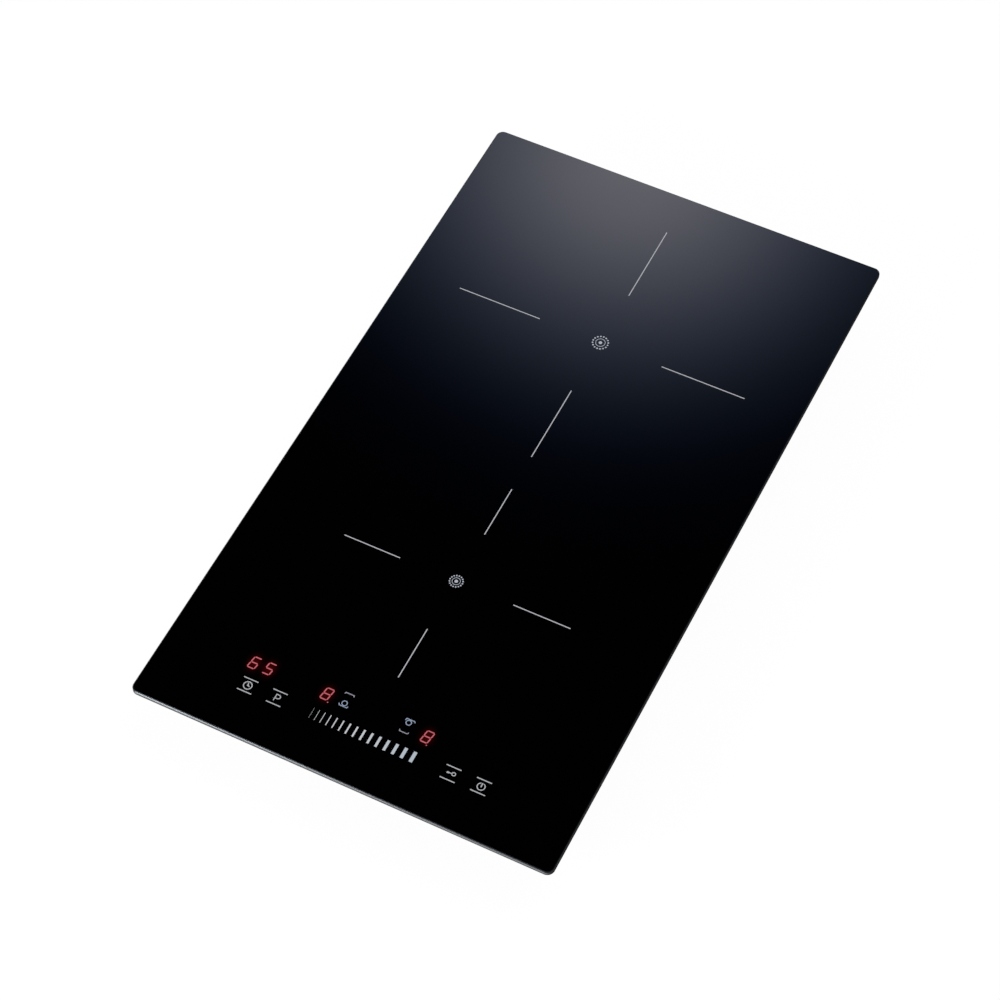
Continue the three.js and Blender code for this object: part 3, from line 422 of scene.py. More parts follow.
def layFloor():
    material = bpy.data.materials.new("paleFloor")
    material.use_nodes = True
    material.node_tree.nodes.clear()
    paper = node(material, "ShaderNodeBsdfDiffuse", {"Color": (0.8, 0.8, 0.8, 1)})
    white = node(material, "ShaderNodeEmission", {"Color": (1, 1, 1, 1), "Strength": room["floorWhite"]})
    share = times(node(material, "ShaderNodeLightPath", output="Is Camera Ray"), 1 - room["floorShadow"])
    mixed = node(material, "ShaderNodeMixShader", {0: share, 1: paper, 2: white})
    node(material, "ShaderNodeOutputMaterial", {0: mixed})
    mesh = bpy.data.meshes.new("floor")
    half = room["floorSize"] / 2 * mm
    square = [(-half, -half), (half, -half), (half, half), (-half, half)]
    mesh.from_pydata(level(square, -room["floorGap"] * mm), [], [(0, 1, 2, 3)])
    mesh.materials.append(material)
    floor = link("floor", mesh)
    floor.visible_glossy = False


lamps = {
    # where each stands, its size and its power in watts
    "key": {"at": (-700, -1470, 806), "size": 520, "power": 15},
    "top": {"at": (500, 200, 1500), "size": 900, "power": 7},
}


def hangLamp(name, lamp):
    light = bpy.data.lights.new(name, "AREA")
    light.shape = "DISK"
    light.size = lamp["size"] * mm
    light.energy = lamp["power"]
    place = Vector(lamp["at"]) * mm
    turned = (place - Vector((0, 0, glassTop * mm))).to_track_quat("Z", "Y")
    link(name, light).matrix_world = Matrix.LocRotScale(place, turned, None)


paintWorld()
layFloor()
for lampName, lampSizes in lamps.items():
    hangLamp(lampName, lampSizes)
bpy.context.scene.view_settings.view_transform = "Standard"
print("stage lit")


# finishes

def startFinish(name, color, roughness, metallic=0.0, sockets=None):
    material = bpy.data.materials.new(name)
    material.use_nodes = True
    fill(shaderOf(material), {"Base Color": (*color, 1), "Roughness": roughness, "Metallic": metallic})
    fill(shaderOf(material), sockets or {})
    return material


def shaderOf(material):
    return material.node_tree.nodes["Principled BSDF"]


def placeIn(material, stretch=(1, 1, 1)):
    # object coordinates in millimetres
    coordinates = node(material, "ShaderNodeTexCoord", output="Object")
    scale = [value / mm for value in stretch]
    return node(material, "ShaderNodeMapping", {"Vector": coordinates, "Scale": scale})


def grain(material, size, detail=3.0, stretch=(1, 1, 1)):
    # noise from 0 to 1 with features of about this size
    inputs = {"Vector": placeIn(material, stretch), "Scale": 1 / size, "Detail": detail}
    return node(material, "ShaderNodeTexNoise", inputs, "Fac")


def cells(material, size, output="Color", feature="F1", stretch=(1, 1, 1)):
    inputs = {"Vector": placeIn(material, stretch), "Scale": 1 / size}
    return node(material, "ShaderNodeTexVoronoi", inputs, output, feature=feature)


def spread(factor, low, high, start=0.3, end=0.7):
    inputs = {"Value": factor, "From Min": start, "From Max": end, "To Min": low, "To Max": high}
    return node(factor, "ShaderNodeMapRange", inputs)


def tint(factor, first, second, start=0.3, end=0.7):
    return mixColor(spread(factor, 0.0, 1.0, start, end), (*first, 1), (*second, 1))


def wear(material, pattern, roughness=None, depth=None, colors=None, patches=None, reach=(0.3, 0.7)):
    # roughness and relief follow a pattern, the colour the same pattern or patches of its own
    sockets = {}
    if colors:
        sockets["Base Color"] = tint(patches or pattern, *colors, *reach)
    if roughness:
        sockets["Roughness"] = spread(pattern, *roughness)
    if depth:
        inputs = {"Height": pattern, "Distance": depth * mm, "Strength": 1.0}
        sockets["Normal"] = node(pattern, "ShaderNodeBump", inputs)
    fill(shaderOf(material), sockets)
    return material


digits = [
    # lit figures behind the glass: middle, figure and, where it has one, its point
    {"at": (-84.71, -204.34), "lit": "6"},
    {"at": (-74.3, -204.07), "lit": "5"},
    {"at": (-33.53, -204.14), "lit": "8", "point": (-30.44, -209.23)},
    {"at": (35.96, -203.95), "lit": "8", "point": (38.06, -209.33)},
]

# painted glow: the glass emits this red haze of its own round each lit figure
halo = {
    "reach": (4.2, 5.7, 1000),  # half width and half height of the red haze round a figure, at any depth
    "softness": 0.55,
    "color": (1.0, 0.02, 0.02),
    "strength": 0.045,
}


def finishGlass():
    material = startFinish("blackGlass", (0.0002, 0.0002, 0.0003), 0.03, sockets={"IOR": 1.5})
    wear(material, grain(material, 60, 4), (0.02, 0.04))
    wear(material, grain(material, 0.5, 2), depth=0.0003)
    # painted red glow: the glass itself emits round the lit figures, where their light would shine through
    place = placeIn(material)
    paintedGlow = 0.0
    for digit in digits:
        away = vectorMaths("SUBTRACT", place, (*digit["at"], glassTop))
        far = vectorMaths("LENGTH", vectorMaths("DIVIDE", away, halo["reach"]), output="Value")
        paintedGlow = maths("ADD", paintedGlow, bell(far, 0, halo["softness"]))
    glow = {"Emission Color": (*halo["color"], 1), "Emission Strength": times(paintedGlow, halo["strength"])}
    fill(shaderOf(material), glow)
    return material


def finishEdge(name, shine):
    # finely ground by the wheel, along the edge
    sockets = {"IOR": 1.5, "Specular IOR Level": shine, "Specular Tint": (0.84, 0.92, 1.0, 1)}
    material = startFinish(name, (0.006, 0.006, 0.007), 0.32, sockets=sockets)
    colors = (0.004, 0.004, 0.005), (0.008, 0.008, 0.0095)
    return wear(material, grain(material, 0.15), (0.29, 0.35), 0.0002, colors)


def finishPrint(name, color, cool=None):
    # fired enamel: slightly uneven, half matt; cool tints it towards the right
    material = startFinish(name, color, 0.5)
    speck = grain(material, 0.35, 2)
    thin = tuple(channel * 0.86 for channel in color)
    shown = tint(speck, thin, color)
    if cool:
        across = split(placeIn(material))[0]
        shown = mixColor(spread(across, 0.0, 1.0, -5, 35), shown, (*cool, 1))
    wear(material, speck, (0.42, 0.6))
    fill(shaderOf(material), {"Base Color": shown})
    return material


def finishLit(name, color, strength):
    material = startFinish(name, (0.03, 0.004, 0.004), 0.12)
    uneven = spread(grain(material, 1.2, 1), 0.8 * strength, strength)
    fill(shaderOf(material), {"Emission Color": (*color, 1), "Emission Strength": uneven})
    return material


blackGlass = finishGlass()
groundEdge = finishEdge("groundGlassEdge", 0.08)
polishedEdge = finishEdge("polishedGlassEdge", 0.98)
zonePrint = finishPrint("zonePrint", (0.42, 0.42, 0.45))
symbolPrint = finishPrint("symbolPrint", (0.4, 0.425, 0.475))
keyPrint = finishPrint("keyPrint", (0.38, 0.385, 0.4))
sliderPrint = finishPrint("sliderPrint", (0.5, 0.51, 0.53), cool=(0.36, 0.41, 0.455))
lilacPrint = finishPrint("lilacPrint", (0.25, 0.25, 0.3))
bluePrint = finishPrint("bluePrint", (0.23, 0.29, 0.39))
redLight = finishLit("redLight", (1.0, 0.24, 0.29), 0.56)
print("glass finishes mixed")


# glass panel

glass = {
    "corner": 5,
    "arris": 0.8,  # ground edge, top and bottom
    "polished": (2.25, 3.55),  # height of the band of the edge that is polished best
    "printDepth": 0.03,  # the glass lies this much under its box, so that the print fits in it
    "cornerSteps": 16,
}
printLow = glassTop - glass["printDepth"]
printSpan = (printLow - 0.02, glassTop)
printDepth = printSpan[1] - printSpan[0]
printMiddle = printSpan[0] + printDepth / 2


def makeGlass():
    arris = glass["arris"]
    bandLow, bandHigh = (glassLow.z + height for height in glass["polished"])
    # inset and height, from the underside up
    stations = [
        (arris, glassLow.z),
        (0, glassLow.z + arris),
        (0, bandLow),
        (0, printLow - arris),
        (arris - printLow + bandHigh, bandHigh),
        (arris, printLow),
    ]
    rings = []
    for inset, z in stations:
        box = insetBox(glassLow, glassHigh, inset)
        rings.append(level(roundedRect(*box, glass["corner"] - inset, glass["cornerSteps"]), z))
    panel = toPiece("glassPanel", [rings], blackGlass, groundEdge, polishedEdge)
    for face in panel.data.polygons[:-2]:
        face.material_index = 2 if bandLow * mm < face.center.z < bandHigh * mm else 1
    settle(panel, "black_glass", "glass_panel")


makeGlass()
print("glass panel made")


# printed marks

def stroke(points, width, closed=False):
    # a line of even width with round ends, as thick as the print
    half, last = width / 2, len(points) - 1
    left, right = [], []
    for i, point in enumerate(points):
        legs = [(point, points[(i + 1) % len(points)]), (points[i - 1], point)]
        if not closed and i in (0, last):
            legs = legs[:1] if i == 0 else legs[1:]
        legs = [(Vector(end) - Vector(start)).normalized() for start, end in legs]
        along = sum(legs, Vector((0, 0))).normalized()
        across = Vector((-along.y, along.x)) * half / along.dot(legs[0])
        left.append(tuple(Vector(point) + across))
        right.append(tuple(Vector(point) - across))
    low, high = printSpan
    if closed:
        rings = [level(left, low), level(left, high), level(right, high), level(right, low)]
        return rings + rings[:1]
    outline = left + roundEnd(points[-1], left[-1]) + right[::-1] + roundEnd(points[0], right[0])
    return prism(outline, low, high)


def roundEnd(middle, start):
    # points of a half circle from start round the end of a line
    away = Vector(start) - Vector(middle)
    facing = math.degrees(math.atan2(away.y, away.x))
    return arc(middle, away.length, facing - 30, facing - 150, 4)


def bar(middle, size):
    (left, front), (right, back) = boxAt(middle, size)
    return prism([(left, front), (right, front), (right, back), (left, back)], *printSpan)


def ring(middle, radius, width, steps=32):
    return stroke(circle(middle, radius, steps), width, closed=True)


def disc(middle, radius, steps=20):
    return prism(circle(middle, radius, steps), *printSpan)


def placePrint(name, shells, material):
    settle(toPiece(name, shells, material), "black_glass")


zones = {
    # middle of the printed cross, where its arms to the right, left, back and front begin and
    # end, how far the side arms lie off their line, and the radii of the symbol in the middle
    "rear": {
        "middle": (0.25, 115.4),
        "arms": [(45.2, 105.1), (45.2, 105.56), (44.4, 105.72), (44.4, 103.9)],
        "slant": 0.33,
        "dots": 5.25,
        "dot": 0.61,
        "ring": 3.2,
        "ringLine": 0.4,
        "centre": 1.22,
    },
    "front": {
        "middle": (0.25, -95.6),
        "arms": [(40.29, 80.1), (40.14, 80.3), (39.45, 78.6), (39.47, 78.75)],
        "slant": 0,
        "dots": 4.3,
        "dot": 0.53,
        "ring": 2.65,
        "ringLine": 0.35,
        "centre": 1.18,
    },
}
zoneMark = {"line": 0.68, "dotCount": 16, "dotSides": 16}
directions = [(1, 0), (-1, 0), (0, 1), (0, -1)]


def ringOfDots(tree, count, sides, ringRadius, dotRadius, depth):
    places = node(tree, "GeometryNodeMeshCircle", {"Vertices": count, "Radius": ringRadius})
    inputs = {"Vertices": sides, "Radius": dotRadius, "Depth": depth}
    return instances(places, node(tree, "GeometryNodeMeshCylinder", inputs))


def makeZoneMarks():
    line = zoneMark["line"]
    for name, zone in zones.items():
        x, y = zone["middle"]
        arms = []
        for (u, v), (near, far) in zip(directions, zone["arms"]):
            reach, length = (near + far) / 2, far - near
            size = (length, line) if u else (line, length)
            arms.append(bar((x + u * reach, y + v * reach - u * zone["slant"]), size))
        placePrint(name + "ZoneArms", arms, zonePrint)
        symbol = [ring((x, y), zone["ring"], zone["ringLine"]), disc((x, y), zone["centre"])]
        placePrint(name + "ZoneSymbol", symbol, symbolPrint)
        lengths = {
            "ringRadius": zone["dots"], "dotRadius": zone["dot"], "depth": printDepth,
            "middle": (x, y, printMiddle),
        }
        counts = {"count": zoneMark["dotCount"], "sides": zoneMark["dotSides"]}
        settle(grow(name + "ZoneDots", ringOfDots, lengths, **counts, material=symbolPrint), "black_glass")


slider = {
    "count": 15,
    "first": -35.7,  # place of the narrowest bar
    "pitch": 3.630,
    "growth": 0.0991,  # how the bars move apart, by the square of their number
    "narrow": 0.1,
    "widening": 0.156,
    "height": 7.7,
    "y": -220.18,
}


def sliderBars(tree, count, first, pitch, growth, narrow, widening, height, depth):
    number = node(tree, "GeometryNodeInputIndex")
    x = maths("MULTIPLY_ADD", number, pitch, first)
    x = maths("MULTIPLY_ADD", times(number, number), growth, x)
    points = placed(node(tree, "GeometryNodeMeshLine", {"Count": count}), vector(x, 0, 0))
    size = vector(maths("MULTIPLY_ADD", number, widening, narrow), height, depth)
    return instances(points, node(tree, "GeometryNodeMeshCube", {"Size": (1, 1, 1)}), Scale=size)


def makeSliderMarks():
    lengths = {key: value for key, value in slider.items() if key not in ("count", "y")}
    lengths.update(depth=printDepth, middle=(0, slider["y"], printMiddle))
    bars = grow("sliderBars", sliderBars, lengths, count=slider["count"], material=sliderPrint)
    settle(bars, "black_glass")


keyBar = (10.1, 0.71)
keys = {
    # middles of the bars over and under each key and of its sign; then the sign's rings (radius,
    # width and steps), filled outlines and lines (points and width), from its middle
    "timer": {
        "bars": ((-80.59, -215.72), (-80.59, -225.03)),
        "sign": (-80.5, -220.4),
        "rings": [(2.7, 0.66)],
        "filled": [  # the hands of a clock, with the hour between them
            [(-0.5, -0.35), (1.35, -0.7), (1.45, -0.15), (0.6, 0.35), (0.1, 1.05), (0, 2.05), (-0.6, 2.05)],
        ],
    },
    "boost": {
        "bars": ((-60.11, -215.45), (-60.11, -224.92)),
        "sign": (-59.75, -220.2),
        "lines": [  # capital P
            ([(-1.5, -2.4), (-1.5, 2.25), *arc((0.3, 0.9), 1.35, 90, -90, 10), (-0.87, -0.45)], 0.62),
        ],
    },
    "lock": {
        "bars": ((60.27, -215.65), (60.27, -224.92)),
        "sign": (62.2, -219.9),
        "rings": [(1.15, 0.62, 20)],
        "filled": [  # the bit of a key
            [(-4.6, -0.9), (-3.2, -0.95), (-2.8, -0.5), (-1.48, -0.38),
             (-1.48, 0.25), (-2.8, 0.1), (-3.3, 0.35), (-4.6, 0.25)],
        ],
    },
    "power": {
        "bars": ((80.81, -215.49), (80.81, -224.75)),
        "sign": (80.9, -220.2),
        "lines": [(arc((0, 0), 2.45, 115, 425, 28), 0.64), ([(0, -0.1), (0, 2.3)], 0.8)],
    },
}


def makeKeyMarks():
    shells = [bar(middle, keyBar) for key in keys.values() for middle in key["bars"]]
    for key in keys.values():
        at = key["sign"]
        shells += [ring(at, *measures) for measures in key.get("rings", [])]
        shells += [prism(shifted(outline, at), *printSpan) for outline in key.get("filled", [])]
        shells += [stroke(shifted(points, at), width) for points, width in key.get("lines", [])]
    placePrint("keyMarks", shells, keyPrint)


zoneSigns = [
    # a ring at the end of the zone that the figure belongs to; from its middle, the bracket
    # behind it and the one at the other end
    {
        "ring": (-20.7, -205.25), "line": 0.6,
        "behind": [(-3.1, -1.35), (-2.55, -2.35), (2.64, -2.4), (3.03, -1.55)],
        "opposite": [(-3.1, 6.55), (-2.85, 7.3), (2.73, 7.3), (3.1, 6.45)],
    },
    {
        "ring": (21.14, -200.1), "line": 0.62,
        "behind": [(-2.79, 1.09), (-2.39, 2.34), (2.9, 2.34), (3.5, 1.59)],
        "opposite": [(-2.84, -6.35), (-2.59, -7.35), (2.8, -7.4), (3.21, -6.5)],
    },
]
zoneSign = {"radius": 1.7, "steps": 24, "line": 0.62}


def makeZoneSigns():
    rings, brackets = [], []
    for sign in zoneSigns:
        at = sign["ring"]
        rings.append(stroke(shifted(sign["behind"], at), sign["line"]))
        rings.append(ring(at, zoneSign["radius"], sign["line"], zoneSign["steps"]))
        brackets.append(stroke(shifted(sign["opposite"], at), zoneSign["line"]))
    placePrint("zoneSignBrackets", brackets, lilacPrint)
    placePrint("zoneSignRings", rings, bluePrint)


makeZoneMarks()
makeSliderMarks()
makeKeyMarks()
makeZoneSigns()
print("printed marks made")


# lit figures

figure = {
    "width": 4.85,  # between the middles of the upright segments
    "height": 8.2,
    "lean": math.tan(math.radians(9)),
    "line": 0.81,
    "gap": 0.12,
    "point": 0.42,
    "segments": {
        # ends as shares of the half width and half height
        "a": ((-1, 1), (1, 1)),
        "b": ((1, 1), (1, 0)),
        "c": ((1, 0), (1, -1)),
        "d": ((-1, -1), (1, -1)),
        "e": ((-1, -1), (-1, 0)),
        "f": ((-1, 0), (-1, 1)),
        "g": ((-1, 0), (1, 0)),
    },
    "shown": {"5": "acdfg", "6": "acdefg", "8": "abcdefg"},
}


def segmentOutline(start, end):
    # six-sided bar with pointed ends
    along = (end - start).normalized()
    across = Vector((-along.y, along.x)) * figure["line"] / 2
    inwards = along * figure["line"] / 2
    start, end = start + along * figure["gap"], end - along * figure["gap"]
    points = [start, start + inwards - across, end - inwards - across]
    return points + [end, end - inwards + across, start + inwards + across]


def makeFigures():
    shells = []
    for digit in digits:
        for letter in figure["shown"][digit["lit"]]:
            ends = figure["segments"][letter]
            start, end = (Vector((u * figure["width"] / 2, v * figure["height"] / 2)) for u, v in ends)
            leaned = [(x + y * figure["lean"], y) for x, y in segmentOutline(start, end)]
            shells.append(prism(shifted(leaned, digit["at"]), *printSpan))
        if "point" in digit:
            shells.append(disc(digit["point"], figure["point"], 12))
    settle(toPiece("litFigures", shells, redLight), "display_red")


makeFigures()
print("lit figures made")


# finishes of the metal and plastic parts

def around(value, below, above):
    return value - below, value + above


def finishGalvanised(name):
    # zinc spangle, faint rolling lines and a dull bloom
    material = startFinish(name, (0.6, 0.61, 0.62), 0.42, 1.0)
    tone = split(cells(material, 3.4), "ShaderNodeSeparateColor")
    fine = split(cells(material, 1.3), "ShaderNodeSeparateColor")
    flake = maths("MULTIPLY_ADD", fine[0], 0.35, times(tone[0], 0.65))
    relief = maths("MULTIPLY_ADD", grain(material, 1.4, 4, (1, 0.03, 1)), 0.5, tone[2])
    wear(material, relief, None, 0.005, ((0.585, 0.595, 0.61), (0.66, 0.67, 0.68)), flake, (0.1, 0.9))
    bloom = spread(grain(material, 60, 4), -0.04, 0.08)
    fill(shaderOf(material), {"Roughness": maths("ADD", spread(flake, 0.34, 0.42, 0.1, 0.9), bloom)})
    return material


def finishAluminium(name):
    material = startFinish(name, (0.78, 0.79, 0.8), 0.35, 1.0)
    rolled = grain(material, 0.9, 4, (1, 0.02, 1))
    return wear(material, rolled, (0.28, 0.44), 0.01, ((0.68, 0.69, 0.7), (0.82, 0.83, 0.84)))


def finishPlated(name, color, worn, roughness):
    # zinc or brass plating, thinner and brighter where it is worn
    material = startFinish(name, color, roughness, 1.0)
    fine, cloudy = grain(material, 0.5, 3), grain(material, 6, 4)
    return wear(material, fine, around(roughness, 0.06, 0.1), 0.01, (color, worn), cloudy)


def finishMoulded(name, color, roughness, texture=0.6, depth=0.02, sheen=0.0):
    # moulded plastic with a spark-eroded skin
    material = startFinish(name, color, roughness, sockets={"Sheen Weight": sheen})
    skin, flow = grain(material, texture, 2), grain(material, 30, 2)
    lighter = tuple(min(1.0, channel * 1.25 + 0.004) for channel in color)
    return wear(material, skin, around(roughness, 0.08, 0.1), depth, (color, lighter), flow)


def finishFoam(name):
    # closed-cell foam: fine open pores on the cut faces, painted darker inside as painted shade in the pores
    material = startFinish(name, (0.02, 0.02, 0.022), 0.95)
    colors = (0.008, 0.008, 0.009), (0.032, 0.032, 0.035)
    return wear(material, cells(material, 0.7, "Distance"), None, 0.08, colors, reach=(0.1, 0.7))


def finishBoard(name):
    # green mask over copper tracks, with tinned pads
    material = startFinish(name, (0.02, 0.12, 0.06), 0.35)
    tracks = cells(material, 6, "Distance", "DISTANCE_TO_EDGE", (1, 1, 0))
    pads = cells(material, 4, "Distance", stretch=(1, 1, 0))
    mask = tint(tracks, (0.045, 0.2, 0.1), (0.012, 0.085, 0.045), 0.04, 0.09)
    shown = mixColor(spread(pads, 1.0, 0.0, 0.1, 0.14), mask, (0.6, 0.6, 0.56, 1))
    wear(material, spread(tracks, 1.0, 0.0, 0.03, 0.1), depth=0.03)
    wear(material, grain(material, 2, 3), (0.28, 0.45))
    fill(shaderOf(material), {"Base Color": shown})
    return material


def finishCopper(name):
    # enamelled strands lying side by side
    coat = {"Coat Weight": 0.5, "Coat Roughness": 0.12}
    material = startFinish(name, (0.75, 0.3, 0.12), 0.3, 0.9, coat)
    strands = grain(material, 0.5, 2, (1, 1, 0.3))
    return wear(material, strands, (0.22, 0.4), 0.05, ((0.5, 0.17, 0.06), (0.85, 0.38, 0.17)))


def finishMineral(name, color, fleck, size, roughness, coat=0.0):
    # sintered or pressed mineral with flecks
    sockets = {"Coat Weight": coat, "Coat Roughness": 0.15}
    material = startFinish(name, color, roughness, sockets=sockets)
    flecks = split(cells(material, size), "ShaderNodeSeparateColor")[0]
    rough = grain(material, size * 0.6, 3)
    return wear(material, rough, around(roughness, 0.08, 0.08), 0.03, (color, fleck), flecks, (0.55, 1.0))


def finishFrosted(name):
    sockets = {"Transmission Weight": 0.6, "IOR": 1.49}
    material = startFinish(name, (0.9, 0.91, 0.9), 0.35, sockets=sockets)
    return wear(material, grain(material, 0.4, 2), (0.28, 0.45), 0.02)


finishes = {
    "black_glass": blackGlass,
    "seal_foam": finishFoam("sealFoam"),
    "tray_steel": finishGalvanised("galvanisedSteel"),
    "carrier_aluminium": finishAluminium("rolledAluminium"),
    "circuit_board": finishBoard("circuitBoard"),
    "component_epoxy": finishMoulded("mouldedEpoxy", (0.018, 0.018, 0.02), 0.5, 0.35, 0.015),
    "component_film": finishMoulded("filmCapacitorBox", (0.72, 0.45, 0.06), 0.35, 0.5, 0.01),
    "component_can": finishPlated("capacitorCan", (0.55, 0.57, 0.62), (0.75, 0.76, 0.8), 0.25),
    "copper_wire": finishCopper("enamelledCopper"),
    "ferrite": finishMineral("sinteredFerrite", (0.045, 0.045, 0.05), (0.09, 0.09, 0.1), 0.8, 0.7),
    "former_plastic": finishMoulded("filledNylon", (0.62, 0.6, 0.54), 0.55, 0.5, 0.02),
    "insulation_sheet": finishMineral("pressedMica", (0.55, 0.5, 0.38), (0.8, 0.74, 0.58), 1.6, 0.45, 0.3),
    "black_plastic": finishMoulded("blackPlastic", (0.015, 0.015, 0.016), 0.5),
    "grey_plastic": finishMoulded("greyPlastic", (0.2, 0.205, 0.21), 0.5),
    "display_red": finishMoulded("displayBlock", (0.09, 0.008, 0.008), 0.25, 0.5, 0.004),
    "light_guide": finishFrosted("frostedGuide"),
    "terminal_ceramic": finishMineral("glazedCeramic", (0.82, 0.8, 0.74), (0.7, 0.66, 0.58), 0.9, 0.35, 0.6),
    "gland_rubber": finishMoulded("glandRubber", (0.022, 0.022, 0.023), 0.75, 0.8, 0.03, 0.2),
    "clamp_steel": finishPlated("zincPlatedSpring", (0.62, 0.63, 0.64), (0.78, 0.78, 0.76), 0.32),
    "fixing_steel": finishPlated("brightZinc", (0.7, 0.7, 0.7), (0.85, 0.85, 0.84), 0.24),
}
brass = finishPlated("brass", (0.78, 0.55, 0.24), (0.88, 0.68, 0.36), 0.25)
print("part finishes mixed")


# worktop seal

seal = {
    "width": 7,
    "corner": 4,
    "crush": 0.8,  # how far the lower outer edge is pressed in
    "round": 0.35,
    "leastCorner": 0.6,
}


def makeSeal():
    low, high = boxOf("worktop_seal")
    width, rounding, crush = seal["width"], seal["round"], seal["crush"]
    # inset and height of the outer half of the section, from the foot up
    outer = [
        (crush, low.z),
        (crush * 0.4, low.z + rounding),
        (0, low.z + 3 * rounding),
        (0, high.z - rounding),
        (rounding, high.z),
    ]
    rings = []
    for inset, z in outer + [(width - inset, z) for inset, z in outer[::-1]]:
        radius = max(seal["corner"] - inset, seal["leastCorner"])
        rings.append(level(roundedRect(*insetBox(low, high, inset), radius), z))
    makePart("worktopSeal", [rings + rings[:1]], "seal_foam", "worktop_seal")


makeSeal()
print("seal made")


# base tray: one folded and drawn sheet

tray = {
    "wall": (132, 239),  # outer faces of the upper walls
    "corner": 6,
    "sheet": 1,
    "flange": 5.5,
    "top": 51.7,
    "step": 28,  # the tub is set in by this at the sides and in front
    "stepZ": 22,
    "bend": 1,  # inner radius of every fold
    "bendSteps": 4,
}


def traySection(outer):
    # (inset, height, inset of the back wall, height of the back wall) from the flange down
    sheet, small, steps = tray["sheet"], tray["bend"], tray["bendSteps"]
    top, stepZ, step, large = tray["top"], tray["stepZ"], tray["step"], small + sheet
    # both faces of the sheet bend about the same middles
    convex, hollow = (small, large) if outer else (large, small)
    upper = arc((-small, top - large), convex, 90, 0, steps)
    shelf = arc((large, stepZ + large), hollow, 180, 270, steps)
    tub = arc((step - small, stepZ - small), convex, 90, 0, steps)
    floor = arc((step + large, large), hollow, 180, 270, steps)
    edge = (-tray["flange"], top - sheet if outer else top)
    section = [(*point, *point) for point in [edge] + upper]
    # the back wall runs straight down past the step
    stepped = shelf + tub
    high, low = shelf[0][1], tub[-1][1]
    for i, (inset, z) in enumerate(stepped):
        section.append((inset, z, 0 if outer else sheet, high + (low - high) * i / (len(stepped) - 1)))
    return section + [(inset, z, inset - step, z) for inset, z in floor]


def trayRing(inset, z, backInset, backZ):
    # one level of the tray; the back corners blend the two heights
    wallX, wallY = tray["wall"]
    depthIn = inset if inset < tray["step"] / 2 else inset - tray["step"]
    radius = max(tray["corner"] - depthIn, 1)
    low, high = (inset - wallX, inset - wallY), (wallX - inset, wallY - backInset)
    points = []
    for x, y in roundedRect(low, high, radius):
        share = min(max((y - high[1] + radius) / radius, 0), 1)
        points.append((x, y, z + (backZ - z) * share))
    return points


slots = {
    "width": 3.4,
    "pitch": 7,
    "cut": 6,  # how deep the cutters are
    "rows": {
        # how many slots, their height and where the row's middle is
        "exhaust": {"count": 15, "height": 14, "middle": (0, -211, 11.5), "turned": 0.0},
        "left": {"count": 7, "height": 12, "middle": (-132, 10.1, 37.7), "turned": math.pi / 2},
        "right": {"count": 7, "height": 12, "middle": (132, 10.1, 37.7), "turned": math.pi / 2},
    },
    "mouth": 29,  # radius of the fan's round mouth
    "bar": 5,  # left across the middle of the mouth
}


def slotRow(tree, count, turned, pitch, width, height, depth):
    # cutters for a row of upright slots
    half = times(depth, 0.5)
    ends = {"Start": vector(0, 0, times(half, -1)), "End": vector(0, 0, half)}
    path = node(tree, "GeometryNodeCurvePrimitiveLine", ends)
    cutter = moved(sweep(path, roundedSection(width, height, 0.499, 6)), Rotation=(math.pi / 2, 0, 0))
    first = times(maths("SUBTRACT", count, 1), pitch, -0.5)
    inputs = {"Count": count, "Start Location": vector(first, 0, 0), "Offset": vector(pitch, 0, 0)}
    row = instances(node(tree, "GeometryNodeMeshLine", inputs), cutter)
    return moved(row, Rotation=vector(0, 0, turned))


def cutSlots(piece):
    for name, row in slots["rows"].items():
        lengths = {"pitch": slots["pitch"], "width": slots["width"], "depth": slots["cut"]}
        lengths.update(height=row["height"], middle=row["middle"])
        numbers = {"count": row["count"], "turned": row["turned"], "material": finishes["tray_steel"]}
        carve(piece, grow(name, slotRow, lengths, **numbers))


def intakeShells():
    # slots trimmed by the round mouth, with a bar left across it
    low, high = boxOf("fan_impeller")
    fan, half = (low + high) / 2, slots["width"] / 2
    rows = int(slots["mouth"] // slots["pitch"])
    for row in range(-rows, rows + 1):
        y = row * slots["pitch"]
        reach = math.sqrt(max(slots["mouth"] ** 2 - (abs(y) + half) ** 2, 0))
        for side in (-1, 1):
            near, far = sorted((side * slots["bar"] / 2, side * reach))
            if reach > 6 * half:
                outline = roundedRect((near, y - half), (far, y + half), 0.98 * half, 5)
                yield prism(shifted(outline, fan), -3, 3)


beads = {
    "width": 9,
    "count": 4,
    "pitch": 45,
    "ends": (-197, 109),
    "slope": [(0, 0.1), (0.5, 0.6), (1.6, 1.2)],  # inset and height
}


def hill(low, high, foot, base, slope):
    # a long round-ended hill
    rings = []
    for inset, z in [(0, foot)] + [(inset, base + height) for inset, height in slope]:
        box = insetBox(low, high, inset)
        rings.append(level(roundedRect(*box, (box[1][0] - box[0][0]) / 2 * 0.99, 6), z))
    return rings


def beadShells(grown, foot, base):
    half = beads["width"] / 2 + grown
    near, far = beads["ends"][0] - grown, beads["ends"][1] + grown
    for i in range(beads["count"]):
        x = (i - (beads["count"] - 1) / 2) * beads["pitch"]
        yield hill((x - half, near), (x + half, far), foot, base, beads["slope"])


screwPlaces = {"clamp": (118, 191), "carrier": (118, 147)}  # in each corner, from the middle
corners = [(-1, -1), (-1, 1), (1, -1), (1, 1)]

